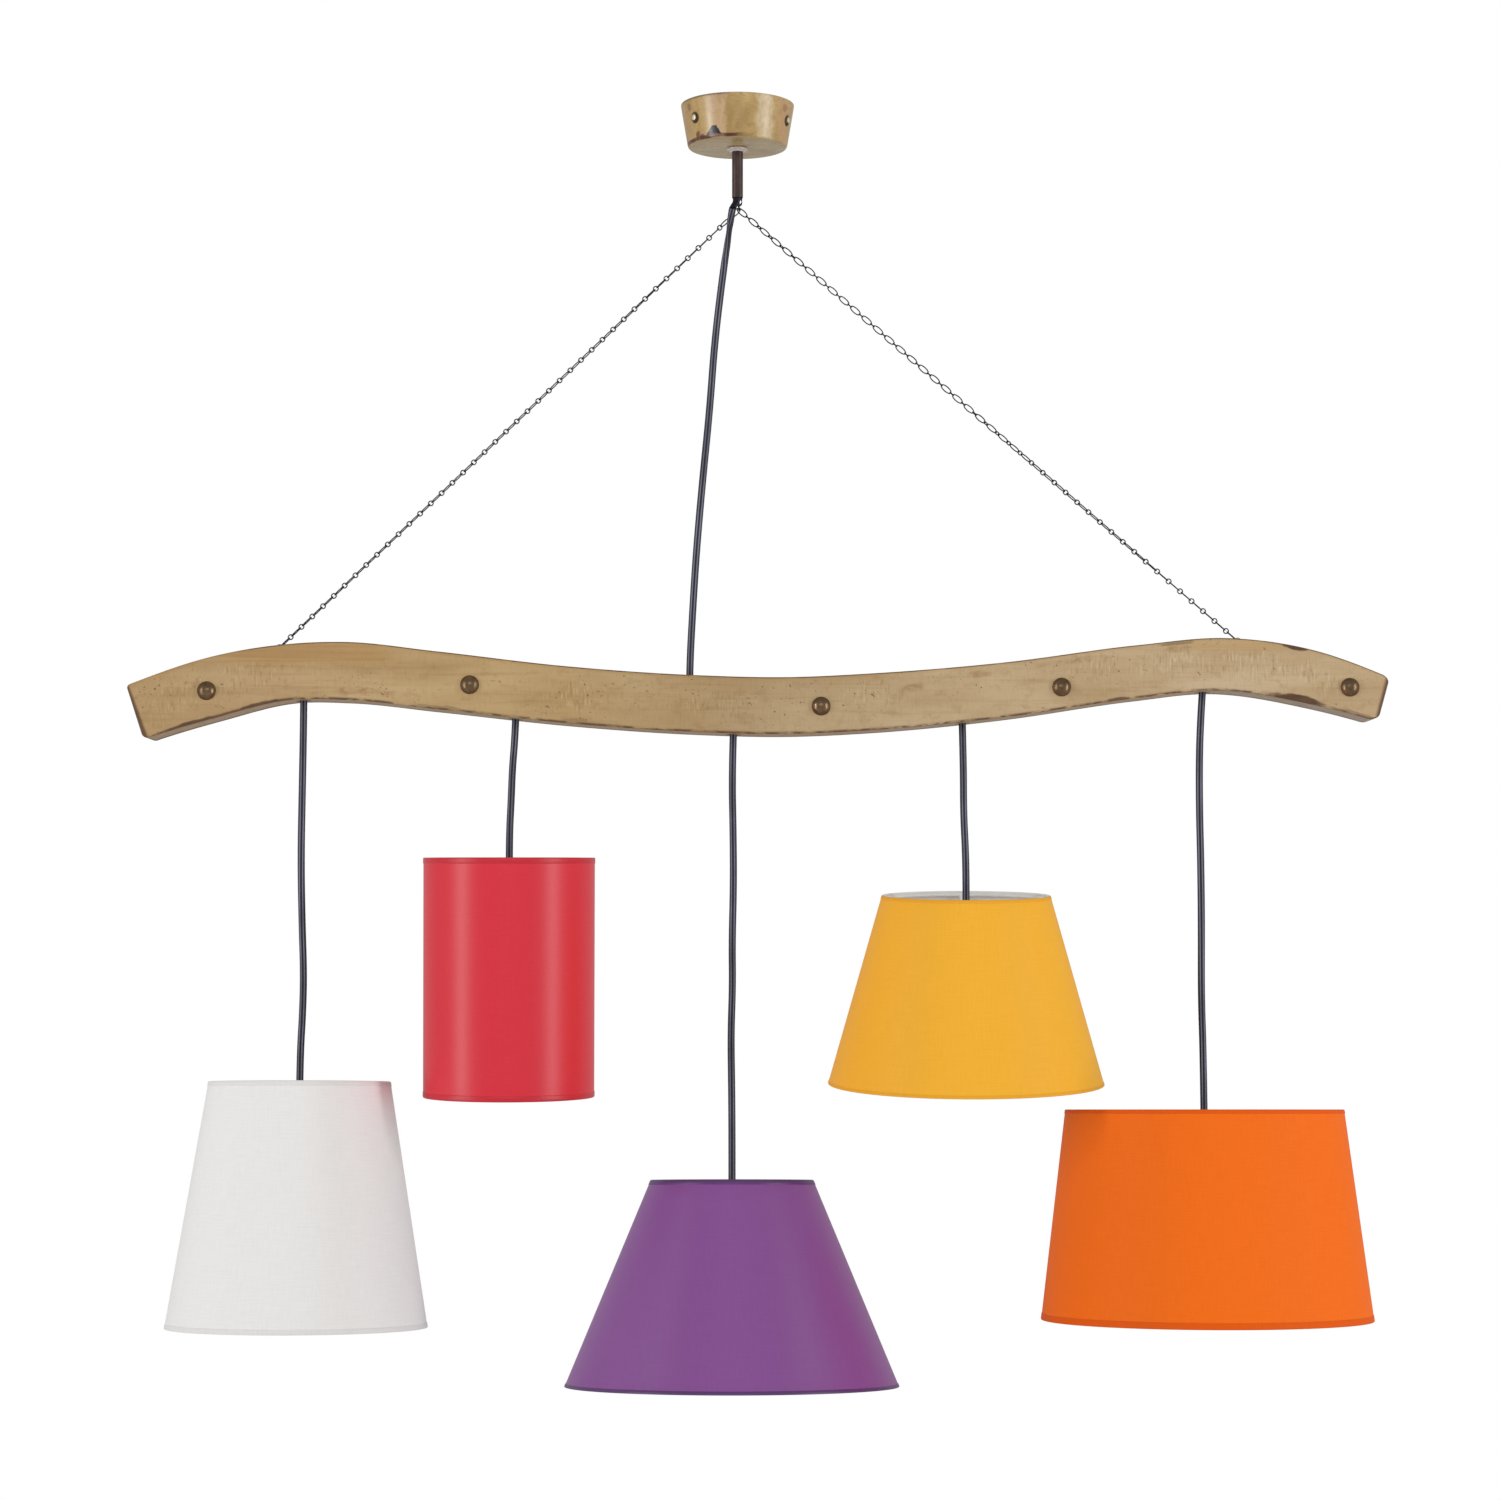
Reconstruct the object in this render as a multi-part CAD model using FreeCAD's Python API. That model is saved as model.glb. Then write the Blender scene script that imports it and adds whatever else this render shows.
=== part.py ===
import FreeCAD, Part
import math
import os

from collections import namedtuple
from FreeCAD import Vector

os.makedirs("parts", exist_ok=True)

# The ceiling is the plane Z = 0 and the stem hangs down the Z axis.
# X runs along the beam, to the right, and Y runs away from the viewer.

# Clearances shared by mating pieces
joint_gap = 0.1
seat_gap = 0.25
soft_gap = 0.3
overrun = 2.0

full_turn = 360.0
half_turn = 180.0
right_angle = 90.0
down = Vector(0, 0, -1)
up = Vector(0, 0, 1)
back = Vector(0, 1, 0)

# Flat twin flex of every lead and pendant
flex_width = 6.3
flex_thickness = 3.8
bend_share = 0.45

# Ceiling rose, turned from wood
rose_top_radius = 50.0
rose_bottom_radius = 43.4
rose_height = 38.5
rose_bore_radius = 39.0
rose_floor = 8.0
rose_ceiling_gap = 0.5
rose_edge_round = 1.5

# Stem tube with the eye at its lower end
stem_radius = 4.8
stem_wall = 0.7
stem_bottom = -82.8
stem_window_height = 14.0
tongue_centre_x = 1.2
tongue_centre_y = 2.5
tongue_width = 6.0
tongue_thickness = 1.8
tongue_length = 7.0
tongue_root = 5.0
eye_radius = 2.2
eye_above_end = 4.0

# Ceiling bracket, a pressed disc with three lugs
bracket_radius = 36.0
bracket_thickness = 1.6
bracket_hub_radius = 7.5
bracket_hub_height = 6.4
ceiling_screw_spacing = 50.0
ceiling_screw_hole_radius = 2.25
lug_width = 12.0
lug_length = 24.0

# Round-head screws through the side of the rose
side_screw_count = 3
side_screw_first_angle = 218.0
side_screw_drop = 18.2
side_screw_radius = 1.75
side_screw_head_radius = 4.6
side_screw_head_height = 2.7
side_screw_reach = 14.5
side_screw_seat = 0.6

locknut_across_flats = 14.0
locknut_height = 3.0

washer_radius = 9.0
washer_height = 2.0
washer_collar_radius = 6.2
washer_collar_height = 1.2

rose_block_length = 22.0
rose_block_depth = 15.0
rose_block_height = 15.0
rose_block_y = -9.8

# Ring that joins both chains to the stem's eye
ring_wire_radius = 0.8
ring_radius = 3.0
eye_seat_gap = 0.45
link_seat_gap = 0.15

# Chains
link_wire_radius = 0.5
link_inner_width = 3.2
short_link_inner_length = 3.4
long_link_inner_length = 9.6
chain_offset_y = 0.8
left_roll_shares = [(0.0, 2.0), (0.05, 84.0), (0.3, 102.0), (1.0, 95.0)]
right_roll_shares = [
    (0.0, 2.0), (0.04, 36.0), (0.14, 10.0), (0.46, 4.0),
    (0.6, -56.0), (0.8, -64.0), (0.87, -82.0), (1.0, -85.0),
]

# Screw eyes in the top of the beam
screw_eye_radius = 2.6
screw_eye_wire_radius = 0.75
screw_eye_shank_radius = 1.2
screw_eye_shank_length = 16.0
screw_eye_recess_radius = 5.0
screw_eye_recess_depth = 4.0
left_eye_share = 0.1185
right_eye_share = 0.8826

# Beam
beam_length = 1092.5
beam_left = -528.3
beam_trough_z = -506.8
beam_height = 49.1
beam_wave = 33.9
beam_front = -23.0
beam_split = 13.0
beam_back = 23.0
beam_end_chamfer = 6.0
beam_top_shares = [
    (0.000, -0.21),
    (0.069, 0.54),
    (0.125, 0.84),
    (0.174, 0.90),
    (0.243, 0.67),
    (0.348, 0.28),
    (0.452, 0.05),
    (0.522, 0.00),
    (0.592, 0.10),
    (0.696, 0.38),
    (0.801, 0.82),
    (0.871, 1.00),
    (0.940, 0.69),
    (1.000, -0.01),
]
beam_bottom_shares = [
    (0.0175, -0.10),
    (0.070, 0.41),
    (0.130, 0.87),
    (0.174, 0.87),
    (0.244, 0.64),
    (0.348, 0.28),
    (0.452, 0.05),
    (0.522, 0.00),
    (0.592, 0.10),
    (0.696, 0.43),
    (0.801, 0.92),
    (0.862, 1.11),
    (0.940, 0.74),
    (0.986, 0.36),
]

# Wiring channel behind the beam's front
channel_floor = 8.0
channel_height = 22.0
channel_front = -8.0
channel_end_margin = 15.0
main_hole_radius = 4.5

nail_head_radius = 8.2
nail_head_height = 5.0
nail_shank_radius = 1.1
nail_shank_length = 13.0
nail_shares = [(0.0637, 0.47), (0.2718, 0.49), (0.5499, 0.47), (0.7402, 0.41), (0.9683, 0.50)]

board_screw_radius = 1.75
board_screw_head_radius = 3.8
board_screw_head_height = 2.6
board_screw_length = 26.0
board_screw_drop = 9.5
board_screw_shares = [0.05, 0.28, 0.50, 0.72, 0.945]

beam_block_x = -41.7
beam_block_length = 36.0
beam_block_height = 15.0
beam_block_front = -6.0
beam_block_back = 12.4

# Knots, and the countersunk holes that they sit on
knot_radius = 6.0
knot_hole_radius = 4.9
knot_pocket_radius = 7.4
knot_hole_mouth_radius = 6.6
knot_pocket_depth = 0.8
flex_knot_gap = 0.15

# Leads inside the channel
lead_radius = 2.2
lead_slant = 8.0
lead_height = 16.0
lead_lane_near = -3.2
lead_lane_middle = 4.9
lead_lane_far = 9.8
lead_end_run = 5.0

# Main flex, from the stem to the beam
stem_flex_y = -1.4
stem_flex_turn = -84.9
stem_flex_end = Vector(-4.2, -6.2, -93.0)
main_flex_route = [
    Vector(-4.8, -6.5, -95.4),
    Vector(-12.6, -5.4, -150.0),
    Vector(-19.9, -3.4, -210.0),
    Vector(-24.2, -2.0, -270.0),
    Vector(-30.4, -1.0, -332.0),
    Vector(-35.8, 0.2, -394.0),
    Vector(-39.3, 0.5, -452.0),
]
main_flex_entry_above = 6.0

# Lamp holders
holder_radius = 19.6
holder_flange_radius = 23.0
holder_flange_height = 3.0
holder_skirt_length = 28.0
holder_bore_radius = 14.0
holder_cap_radius = 20.5
holder_cap_neck_radius = 6.5
holder_cap_height = 20.0
holder_cap_shoulder = 9.0
holder_wall = 2.2
insert_radius = 13.4
insert_height = 7.0
contact_radius = 3.0
contact_height = 2.0
shade_ring_radius = 25.0
shade_ring_height = 9.0

# Wire frames of the shades
spider_drop = 30.0
spider_ring_outer_radius = 28.0
spider_plate = 1.2
spider_wire_radius = 1.5
spider_arms = 3
spider_first_angle = 90.0
hoop_wire_radius = 1.3
hoop_inset = 2.0
shade_wall = 1.0

# Bulbs
bulb_cap_radius = 13.2
bulb_cap_length = 24.0
bulb_neck_radius = 14.0
bulb_globe_radius = 30.0
bulb_length = 108.0

# The shades hang a little out of plumb. The lean is in degrees, forward at the foot if negative.
lean_angles = {"white": -2.8, "red": 1.5, "purple": -4.0, "yellow": 4.2, "orange": -2.5}
balance_drop = 95.0

# Where each pendant hangs, as a share of the beam's length from its left end
pendant_shares = {"white": 0.13666, "red": 0.30252, "purple": 0.47936, "yellow": 0.66481, "orange": 0.85336}

# Each pendant: name, top rim Z, top radius, height, bottom radius,
# and the flex's sway as (share of its drop, sideways, fore and aft)
pendant_sizes = [
    ("white", -856.0, 78.2, 210.8, 112.3,
     [(0.0, 1.5, 0.0), (0.09, 1.3, 0.3), (0.25, 0.5, 0.7), (0.42, -0.2, 0.2), (0.58, 1.2, -0.4),
      (0.71, 2.9, -0.2), (0.81, 2.1, 0.3), (0.91, -0.4, 0.2), (1.0, 0.0, 0.0)]),
    ("red", -662.3, 74.2, 206.9, 73.9,
     [(0.0, 5.0, 0.0), (0.17, 4.2, 0.3), (0.36, 2.2, 0.5), (0.58, 1.3, 0.1), (0.8, 1.3, -0.3),
      (1.0, 0.0, 0.0)]),
    ("purple", -940.8, 70.3, 176.1, 143.7,
     [(0.0, 1.2, 0.0), (0.10, -0.1, 0.4), (0.22, 0.9, 0.8), (0.34, 1.3, 0.3), (0.47, 0.0, -0.3),
      (0.56, 0.5, -0.5), (0.67, -1.0, 0.0), (0.78, -0.3, 0.4), (0.89, 0.6, 0.2), (1.0, 0.0, 0.0)]),
    ("yellow", -695.1, 72.9, 163.3, 119.4,
     [(0.0, -2.4, 0.0), (0.25, -1.5, 0.3), (0.52, -1.7, 0.2), (0.78, -1.1, -0.1), (1.0, 0.0, 0.0)]),
    ("orange", -880.1, 119.7, 180.1, 142.1,
     [(0.0, 1.2, 0.0), (0.08, -0.9, 0.3), (0.18, -2.2, 0.6), (0.30, -2.2, 0.3), (0.40, -1.5, -0.2),
      (0.55, -1.2, -0.4), (0.72, -1.8, 0.0), (0.85, -2.6, 0.3), (1.0, 0.0, 0.0)]),
]
lead_lanes = {
    "white": lead_lane_far,
    "red": lead_lane_middle,
    "purple": lead_lane_near,
    "yellow": lead_lane_middle,
    "orange": lead_lane_far,
}


# Helpers


def along_beam(share):
    return beam_left + share * beam_length


def save(node, *solids):
    shape = solids[0] if len(solids) == 1 else Part.makeCompound(list(solids))
    shape.exportStep("parts/" + node + ".step")


def turned(profile, x=0, y=0):
    # a solid of revolution about a vertical axis, from (radius, height) corners
    corners = [Vector(radius, 0, height) for radius, height in profile]
    face = Part.Face(Part.makePolygon(corners + corners[:1]))
    solid = face.revolve(Vector(), up, full_turn)
    solid.translate(Vector(x, y, 0))
    return solid


def block(low, high):
    size = high.sub(low)
    return Part.makeBox(size.x, size.y, size.z, low)


def column(radius, low, high):
    # a cylinder from the point low to the point high
    along = high.sub(low)
    return Part.makeCylinder(radius, along.Length, low, along)


def unit(vector):
    return Vector(vector).normalize()


def share_between(table, share):
    # a value read off a table of (share, value), straight between its entries
    for (low, first), (high, last) in zip(table, table[1:]):
        if share <= high:
            return first + (last - first) * (share - low) / (high - low)
    return table[-1][1]


def route_wire(points):
    # straight runs joined by tangent arcs that take a part of the shorter run
    edges = []
    radii = []
    start = points[0]
    for before, corner, after in zip(points, points[1:], points[2:]):
        coming = corner.sub(before)
        going = after.sub(corner)
        turn = coming.getAngle(going)
        set_back = bend_share * min(coming.Length, going.Length)
        radius = set_back / math.tan(turn / 2)
        first = corner.sub(unit(coming) * set_back)
        last = corner.add(unit(going) * set_back)
        inward = unit(first.add(last).sub(corner * 2))
        middle = corner.add(inward * (radius / math.cos(turn / 2) - radius))
        edges.append(Part.LineSegment(start, first).toShape())
        edges.append(Part.Arc(first, middle, last).toShape())
        radii.append(radius)
        start = last
    edges.append(Part.LineSegment(start, points[-1]).toShape())
    return Part.Wire(edges), radii


def flat_profile(point, wide, thick):
    # the flex's section: two rounded lobes side by side, closed by flats
    edge_radius = flex_thickness / 2
    half = flex_width / 2 - edge_radius
    lift = thick * edge_radius
    right = point.add(wide * half)
    left = point.sub(wide * half)
    return Part.Wire([
        Part.LineSegment(left.add(lift), right.add(lift)).toShape(),
        Part.Arc(right.add(lift), right.add(wide * edge_radius), right.sub(lift)).toShape(),
        Part.LineSegment(right.sub(lift), left.sub(lift)).toShape(),
        Part.Arc(left.sub(lift), left.sub(wide * edge_radius), left.add(lift)).toShape(),
    ])


def flex(points, steady=back):
    # flat twin flex along a route, its wide side towards the viewer
    wire, radii = route_wire(points)
    along = unit(points[1].sub(points[0]))
    other = unit(steady.cross(along))
    wide, thick = (other, steady) if steady is back else (steady, other)
    profile = flat_profile(points[0], wide, thick)
    pipe = Part.BRepOffsetAPI.MakePipeShell(wire)
    pipe.setBiNormalMode(steady)
    pipe.add(profile)
    pipe.build()
    pipe.makeSolid()
    solid = pipe.shape()
    section = Part.Face(profile).Area
    print("flex", "length", round(wire.Length, 1), "least radius", round(min(radii), 1),
          "volume share", round(solid.Volume / (section * wire.Length), 4), solid.isValid())
    return solid


def round_lead(points, radius):
    wire, radii = route_wire(points)
    along = unit(points[1].sub(points[0]))
    circle = Part.Wire([Part.Circle(points[0], along, radius).toShape()])
    solid = wire.makePipeShell([circle], True, False)
    share = solid.Volume / (math.pi * radius ** 2 * wire.Length)
    print("lead", "length", round(wire.Length, 1), "least radius", round(min(radii), 1),
          "volume share", round(share, 4), solid.isValid())
    return solid


# Ceiling group


def side_screw_directions():
    for number in range(side_screw_count):
        angle = math.radians(side_screw_first_angle + number * full_turn / side_screw_count)
        yield Vector(math.cos(angle), math.sin(angle), 0)


def rose_wall_radius(drop):
    slope = (rose_top_radius - rose_bottom_radius) / rose_height
    return rose_top_radius - slope * drop


def ceiling_bracket():
    thickness = bracket_thickness
    bracket = turned([(0, 0), (bracket_radius, 0), (bracket_radius, -thickness), (0, -thickness)])
    hub_bottom = -thickness - bracket_hub_height
    bracket = bracket.fuse(turned([
        (0, -thickness), (bracket_hub_radius, -thickness), (bracket_hub_radius, hub_bottom), (0, hub_bottom),
    ]))
    for outward in side_screw_directions():
        lug = block(
            Vector(bracket_radius - 2 * thickness, -lug_width / 2, -lug_length),
            Vector(bracket_radius - thickness, lug_width / 2, 0),
        )
        slot_radius = side_screw_radius + joint_gap
        slot_top = Vector(0, 0, -side_screw_drop)
        slot = column(slot_radius, slot_top, slot_top.add(Vector(bracket_radius, 0, 0)))
        slot = slot.fuse(block(
            Vector(0, -slot_radius, -lug_length - overrun),
            Vector(bracket_radius, slot_radius, -side_screw_drop),
        ))
        lug = lug.cut(slot)
        lug.rotate(Vector(), up, math.degrees(math.atan2(outward.y, outward.x)))
        bracket = bracket.fuse(lug)
    bore = stem_radius + joint_gap / 2
    bracket = bracket.cut(column(bore, Vector(0, 0, -thickness), Vector(0, 0, hub_bottom - overrun)))
    for side in (-1, 1):
        place = Vector(side * ceiling_screw_spacing / 2, 0, overrun)
        bracket = bracket.cut(column(ceiling_screw_hole_radius, place, place.sub(Vector(0, 0, 4 * overrun))))
    return bracket.removeSplitter()


def ceiling_rose():
    top = -rose_ceiling_gap
    bottom = -rose_height
    edge = rose_edge_round
    rose = turned([
        (rose_bore_radius, top),
        (rose_top_radius - edge, top),
        (rose_top_radius, top - edge),
        (rose_wall_radius(rose_height - edge), bottom + edge),
        (rose_bottom_radius - edge, bottom),
        (stem_radius + soft_gap, bottom),
        (stem_radius + soft_gap, bottom + rose_floor),
        (rose_bore_radius, bottom + rose_floor),
    ])
    seat = rose_wall_radius(side_screw_drop) - side_screw_seat
    for outward in side_screw_directions():
        place = Vector(0, 0, -side_screw_drop)
        inner = place.add(outward * (rose_bore_radius - overrun))
        outer = place.add(outward * (rose_top_radius + overrun))
        rose = rose.cut(column(side_screw_radius + joint_gap, inner, outer))
        seat_point = place.add(outward * seat)
        rose = rose.cut(column(side_screw_head_radius + joint_gap, seat_point, outer))
    return rose


def side_screws():
    seat = rose_wall_radius(side_screw_drop) - side_screw_seat
    screws = []
    for outward in side_screw_directions():
        place = Vector(0, 0, -side_screw_drop)
        seat_point = place.add(outward * seat)
        shank = column(side_screw_radius, seat_point.sub(outward * side_screw_reach), seat_point)
        screws.append(shank.fuse(dome(seat_point, outward, side_screw_head_radius, side_screw_head_height)))
    return screws


def dome(point, outward, radius, height):
    # a rounded head: a cap of a sphere standing on a flat disc
    sphere_radius = (radius ** 2 + height ** 2) / (2 * height)
    arc = Part.Arc(
        Vector(radius, 0, 0),
        Vector(math.sqrt(sphere_radius ** 2 - (sphere_radius - height / 2) ** 2), 0, height / 2),
        Vector(0, 0, height),
    )
    outline = Part.Wire([
        Part.LineSegment(Vector(), Vector(radius, 0, 0)).toShape(),
        arc.toShape(),
        Part.LineSegment(Vector(0, 0, height), Vector()).toShape(),
    ])
    cap = Part.Face(outline).revolve(Vector(), up, full_turn)
    cap.Placement = FreeCAD.Placement(point, FreeCAD.Rotation(up, outward))
    return cap


def stem_tube():
    top = Vector(0, 0, -bracket_thickness - joint_gap)
    bottom = Vector(0, 0, stem_bottom)
    inner_radius = stem_radius - stem_wall
    tube = column(stem_radius, bottom, top)
    tube = tube.cut(column(inner_radius, bottom.add(down * overrun), top.add(up * overrun)))
    window_top = locknut_bottom() - joint_gap
    tube = tube.cut(block(
        Vector(-flex_width / 2 - soft_gap, -stem_radius - overrun, window_top - stem_window_height),
        Vector(flex_width / 2 + soft_gap, 0, window_top),
    ))
    # the tongue grows out of the back of the wall and narrows below the mouth
    tongue_front = tongue_centre_y - tongue_thickness / 2
    tongue_back = tongue_centre_y + tongue_thickness / 2
    root = block(
        Vector(-stem_radius, tongue_front, stem_bottom - tongue_root / 2),
        Vector(stem_radius, tongue_back, stem_bottom + tongue_root),
    )
    root = root.common(column(stem_radius - stem_wall / 2, bottom.add(down * tongue_root), top))
    end_radius = tongue_width / 2
    end_centre = Vector(tongue_centre_x, tongue_front, stem_bottom - tongue_length + end_radius)
    blade = block(
        Vector(tongue_centre_x - end_radius, tongue_front, end_centre.z),
        Vector(tongue_centre_x + end_radius, tongue_back, stem_bottom + overrun),
    )
    blade = blade.common(block(
        Vector(-stem_radius, tongue_front, end_centre.z),
        Vector(stem_radius - stem_wall, tongue_back, stem_bottom + overrun),
    ))
    end = column(end_radius, end_centre, end_centre.add(back * tongue_thickness))
    eye_centre = Vector(tongue_centre_x, tongue_front - overrun, eye_height())
    eye = column(eye_radius, eye_centre, eye_centre.add(back * (tongue_thickness + 2 * overrun)))
    tongue = root.fuse(blade).fuse(end).cut(eye)
    return tube.fuse(tongue).removeSplitter()


def eye_height():
    return stem_bottom - tongue_length + eye_above_end


def locknut_bottom():
    return -bracket_thickness - bracket_hub_height - joint_gap - locknut_height


def stem_locknut():
    corner_radius = locknut_across_flats / math.sqrt(3)
    corners = []
    sides = 6
    for number in range(sides + 1):
        angle = math.radians(number * full_turn / sides)
        corners.append(Vector(corner_radius * math.cos(angle), corner_radius * math.sin(angle), 0))
    nut = Part.Face(Part.makePolygon(corners)).extrude(Vector(0, 0, locknut_height))
    nut.translate(Vector(0, 0, locknut_bottom()))
    bore_low = Vector(0, 0, locknut_bottom() - overrun)
    return nut.cut(column(stem_radius + joint_gap / 2, bore_low, Vector(0, 0, 0)))


def stem_washer():
    top = -rose_height - soft_gap
    bore = stem_radius + joint_gap
    flange = top - washer_height
    return turned([
        (bore, top),
        (washer_radius, top),
        (washer_radius, flange),
        (washer_collar_radius, flange),
        (washer_collar_radius, flange - washer_collar_height),
        (bore, flange - washer_collar_height),
    ])


def rose_terminal_block():
    top = -bracket_thickness - seat_gap
    return block(
        Vector(-rose_block_length / 2, rose_block_y - rose_block_depth, top - rose_block_height),
        Vector(rose_block_length / 2, rose_block_y, top),
    )


def stem_lead_route():
    exit_height = locknut_bottom() - flex_thickness / 2 - 2 * soft_gap
    return [
        Vector(0, rose_block_y, exit_height),
        Vector(0, stem_flex_y, exit_height),
        Vector(0, stem_flex_y, stem_flex_turn),
        stem_flex_end,
    ]


# Ring, chains and screw eyes


def ring_centre():
    top_wire = eye_height() - eye_radius + ring_wire_radius + eye_seat_gap
    return Vector(tongue_centre_x, tongue_centre_y, top_wire - ring_radius)


def hook_ring():
    return Part.makeTorus(ring_radius, ring_wire_radius, ring_centre(), Vector(1, 0, 0))


def chain_link(inner_length):
    # one oval link in the XZ plane, its long axis along X
    wire_centre = link_inner_width / 2 + link_wire_radius
    half = inner_length / 2 - link_inner_width / 2
    circle = Part.Circle(Vector(half, 0, wire_centre), Vector(1, 0, 0), link_wire_radius)
    tube = Part.Face(Part.Wire([circle.toShape()]))
    bend = tube.revolve(Vector(half, 0, 0), back, half_turn)
    side = tube.extrude(Vector(-2 * half, 0, 0))
    both = bend.fuse(side)
    other = both.copy()
    other.rotate(Vector(), back, half_turn)
    return both.fuse(other).removeSplitter()


def chain(start, start_radius, end, end_radius, roll_shares):
    # long and short links in turn, hung one in the next between two wires, each turned a quarter from the last
    along = unit(end.sub(start))
    distance = end.sub(start).Length
    pairs = round(distance / (short_link_inner_length + long_link_inner_length))
    count = 2 * pairs - 1
    all_inner = distance + (count + 1) * joint_gap + start_radius + end_radius
    inner = (all_inner - (pairs - 1) * short_link_inner_length) / pairs
    lengths = [inner, short_link_inner_length]
    two_links = [chain_link(length) for length in lengths]
    level = unit(back.sub(along * back.dot(along)))
    sideways = along.cross(level)
    links = []
    reach = -start_radius - joint_gap
    for number in range(count):
        kind = number % 2
        place = start.add(along * (reach + lengths[kind] / 2))
        reach += lengths[kind] - joint_gap
        roll = share_between(roll_shares, number / count) + kind * right_angle
        turned_level = level * math.cos(math.radians(roll)) + sideways * math.sin(math.radians(roll))
        frame = FreeCAD.Matrix()
        third = along.cross(turned_level)
        frame.A11, frame.A21, frame.A31 = along.x, along.y, along.z
        frame.A12, frame.A22, frame.A32 = turned_level.x, turned_level.y, turned_level.z
        frame.A13, frame.A23, frame.A33 = third.x, third.y, third.z
        one = two_links[kind].copy()
        one.Placement = FreeCAD.Placement(place, FreeCAD.Placement(frame).Rotation)
        links.append(one)
    print("chain", "links", count, "long link inner length", round(inner, 2))
    return links


def screw_eye_centre(share):
    x = along_beam(share)
    floor = height_at(beam_top_curve, x) - screw_eye_recess_depth
    return Vector(x, 0, floor + soft_gap + screw_eye_radius + screw_eye_wire_radius)


def screw_eye(centre):
    eye = Part.makeTorus(screw_eye_radius, screw_eye_wire_radius, centre, back)
    top = centre.add(down * screw_eye_radius)
    return eye.fuse(column(screw_eye_shank_radius, top.add(down * screw_eye_shank_length), top))


# Beam


def beam_curve(shares, base):
    points = [Vector(along_beam(x), 0, base + z * beam_wave) for x, z in shares]
    curve = Part.BSplineCurve()
    curve.interpolate(points)
    return curve


def height_at(curve, x):
    # the curve's height at a place along the beam
    low = curve.FirstParameter
    high = curve.LastParameter
    halvings = 50
    for _ in range(halvings):
        middle = (low + high) / 2
        if curve.value(middle).x < x:
            low = middle
        else:
            high = middle
    return curve.value(low).z


beam_top_curve = beam_curve(beam_top_shares, beam_trough_z)
beam_bottom_curve = beam_curve(beam_bottom_shares, beam_trough_z - beam_height)


def curve_ends(curve):
    return curve.value(curve.FirstParameter), curve.value(curve.LastParameter)


def beam_slab(front, rear):
    # the beam's outline between two planes, its lower end corners cut off
    top_left, top_right = curve_ends(beam_top_curve)
    bottom_left, bottom_right = curve_ends(beam_bottom_curve)
    outline = [beam_top_curve.toShape(), beam_bottom_curve.toShape()]
    for start, corner, outward in ((top_right, bottom_right, 1), (top_left, bottom_left, -1)):
        cut = corner.sub(unit(corner.sub(start)) * beam_end_chamfer)
        cut.x += outward * beam_end_chamfer / 2
        outline.append(Part.LineSegment(start, cut).toShape())
        outline.append(Part.LineSegment(cut, corner).toShape())
    face = Part.Face(Part.Wire(Part.__sortEdges__(outline)))
    slab = face.extrude(Vector(0, rear - front, 0))
    slab.translate(Vector(0, front, 0))
    return slab


def channel():
    # a band that follows the underside, from the first pendant to the last
    low = beam_bottom_curve.toShape()
    high = low.copy()
    low.translate(Vector(0, channel_front, channel_floor))
    high.translate(Vector(0, channel_front, channel_floor + channel_height))
    ends = [
        Part.LineSegment(low.valueAt(low.FirstParameter), high.valueAt(high.FirstParameter)).toShape(),
        Part.LineSegment(low.valueAt(low.LastParameter), high.valueAt(high.LastParameter)).toShape(),
    ]
    face = Part.Face(Part.Wire(Part.__sortEdges__([low, high] + ends)))
    band = face.extrude(Vector(0, beam_split - channel_front + overrun, 0))
    first = pendants[0].x - channel_end_margin
    last = pendants[-1].x + channel_end_margin
    limits = block(
        Vector(first, channel_front, beam_trough_z - 2 * beam_height),
        Vector(last, beam_split + overrun, beam_trough_z + 2 * beam_height),
    )
    return band.common(limits)


def pendant_exit(pendant):
    _, sideways, _ = pendant.sway[0]
    return pendant.x + sideways


def seat_height(pendant):
    return height_at(beam_bottom_curve, pendant_exit(pendant)) + channel_floor - knot_pocket_depth


def knot_height(pendant):
    lift = math.sqrt(knot_radius ** 2 - knot_hole_radius ** 2)
    return seat_height(pendant) + lift + seat_gap


def nail_places():
    for x_share, z_share in nail_shares:
        x = along_beam(x_share)
        low = height_at(beam_bottom_curve, x)
        high = height_at(beam_top_curve, x)
        yield Vector(x, beam_front, low + z_share * (high - low))


def board_screw_places():
    for share in board_screw_shares:
        x = along_beam(share)
        yield Vector(x, beam_back, height_at(beam_top_curve, x) - board_screw_drop)


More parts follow.
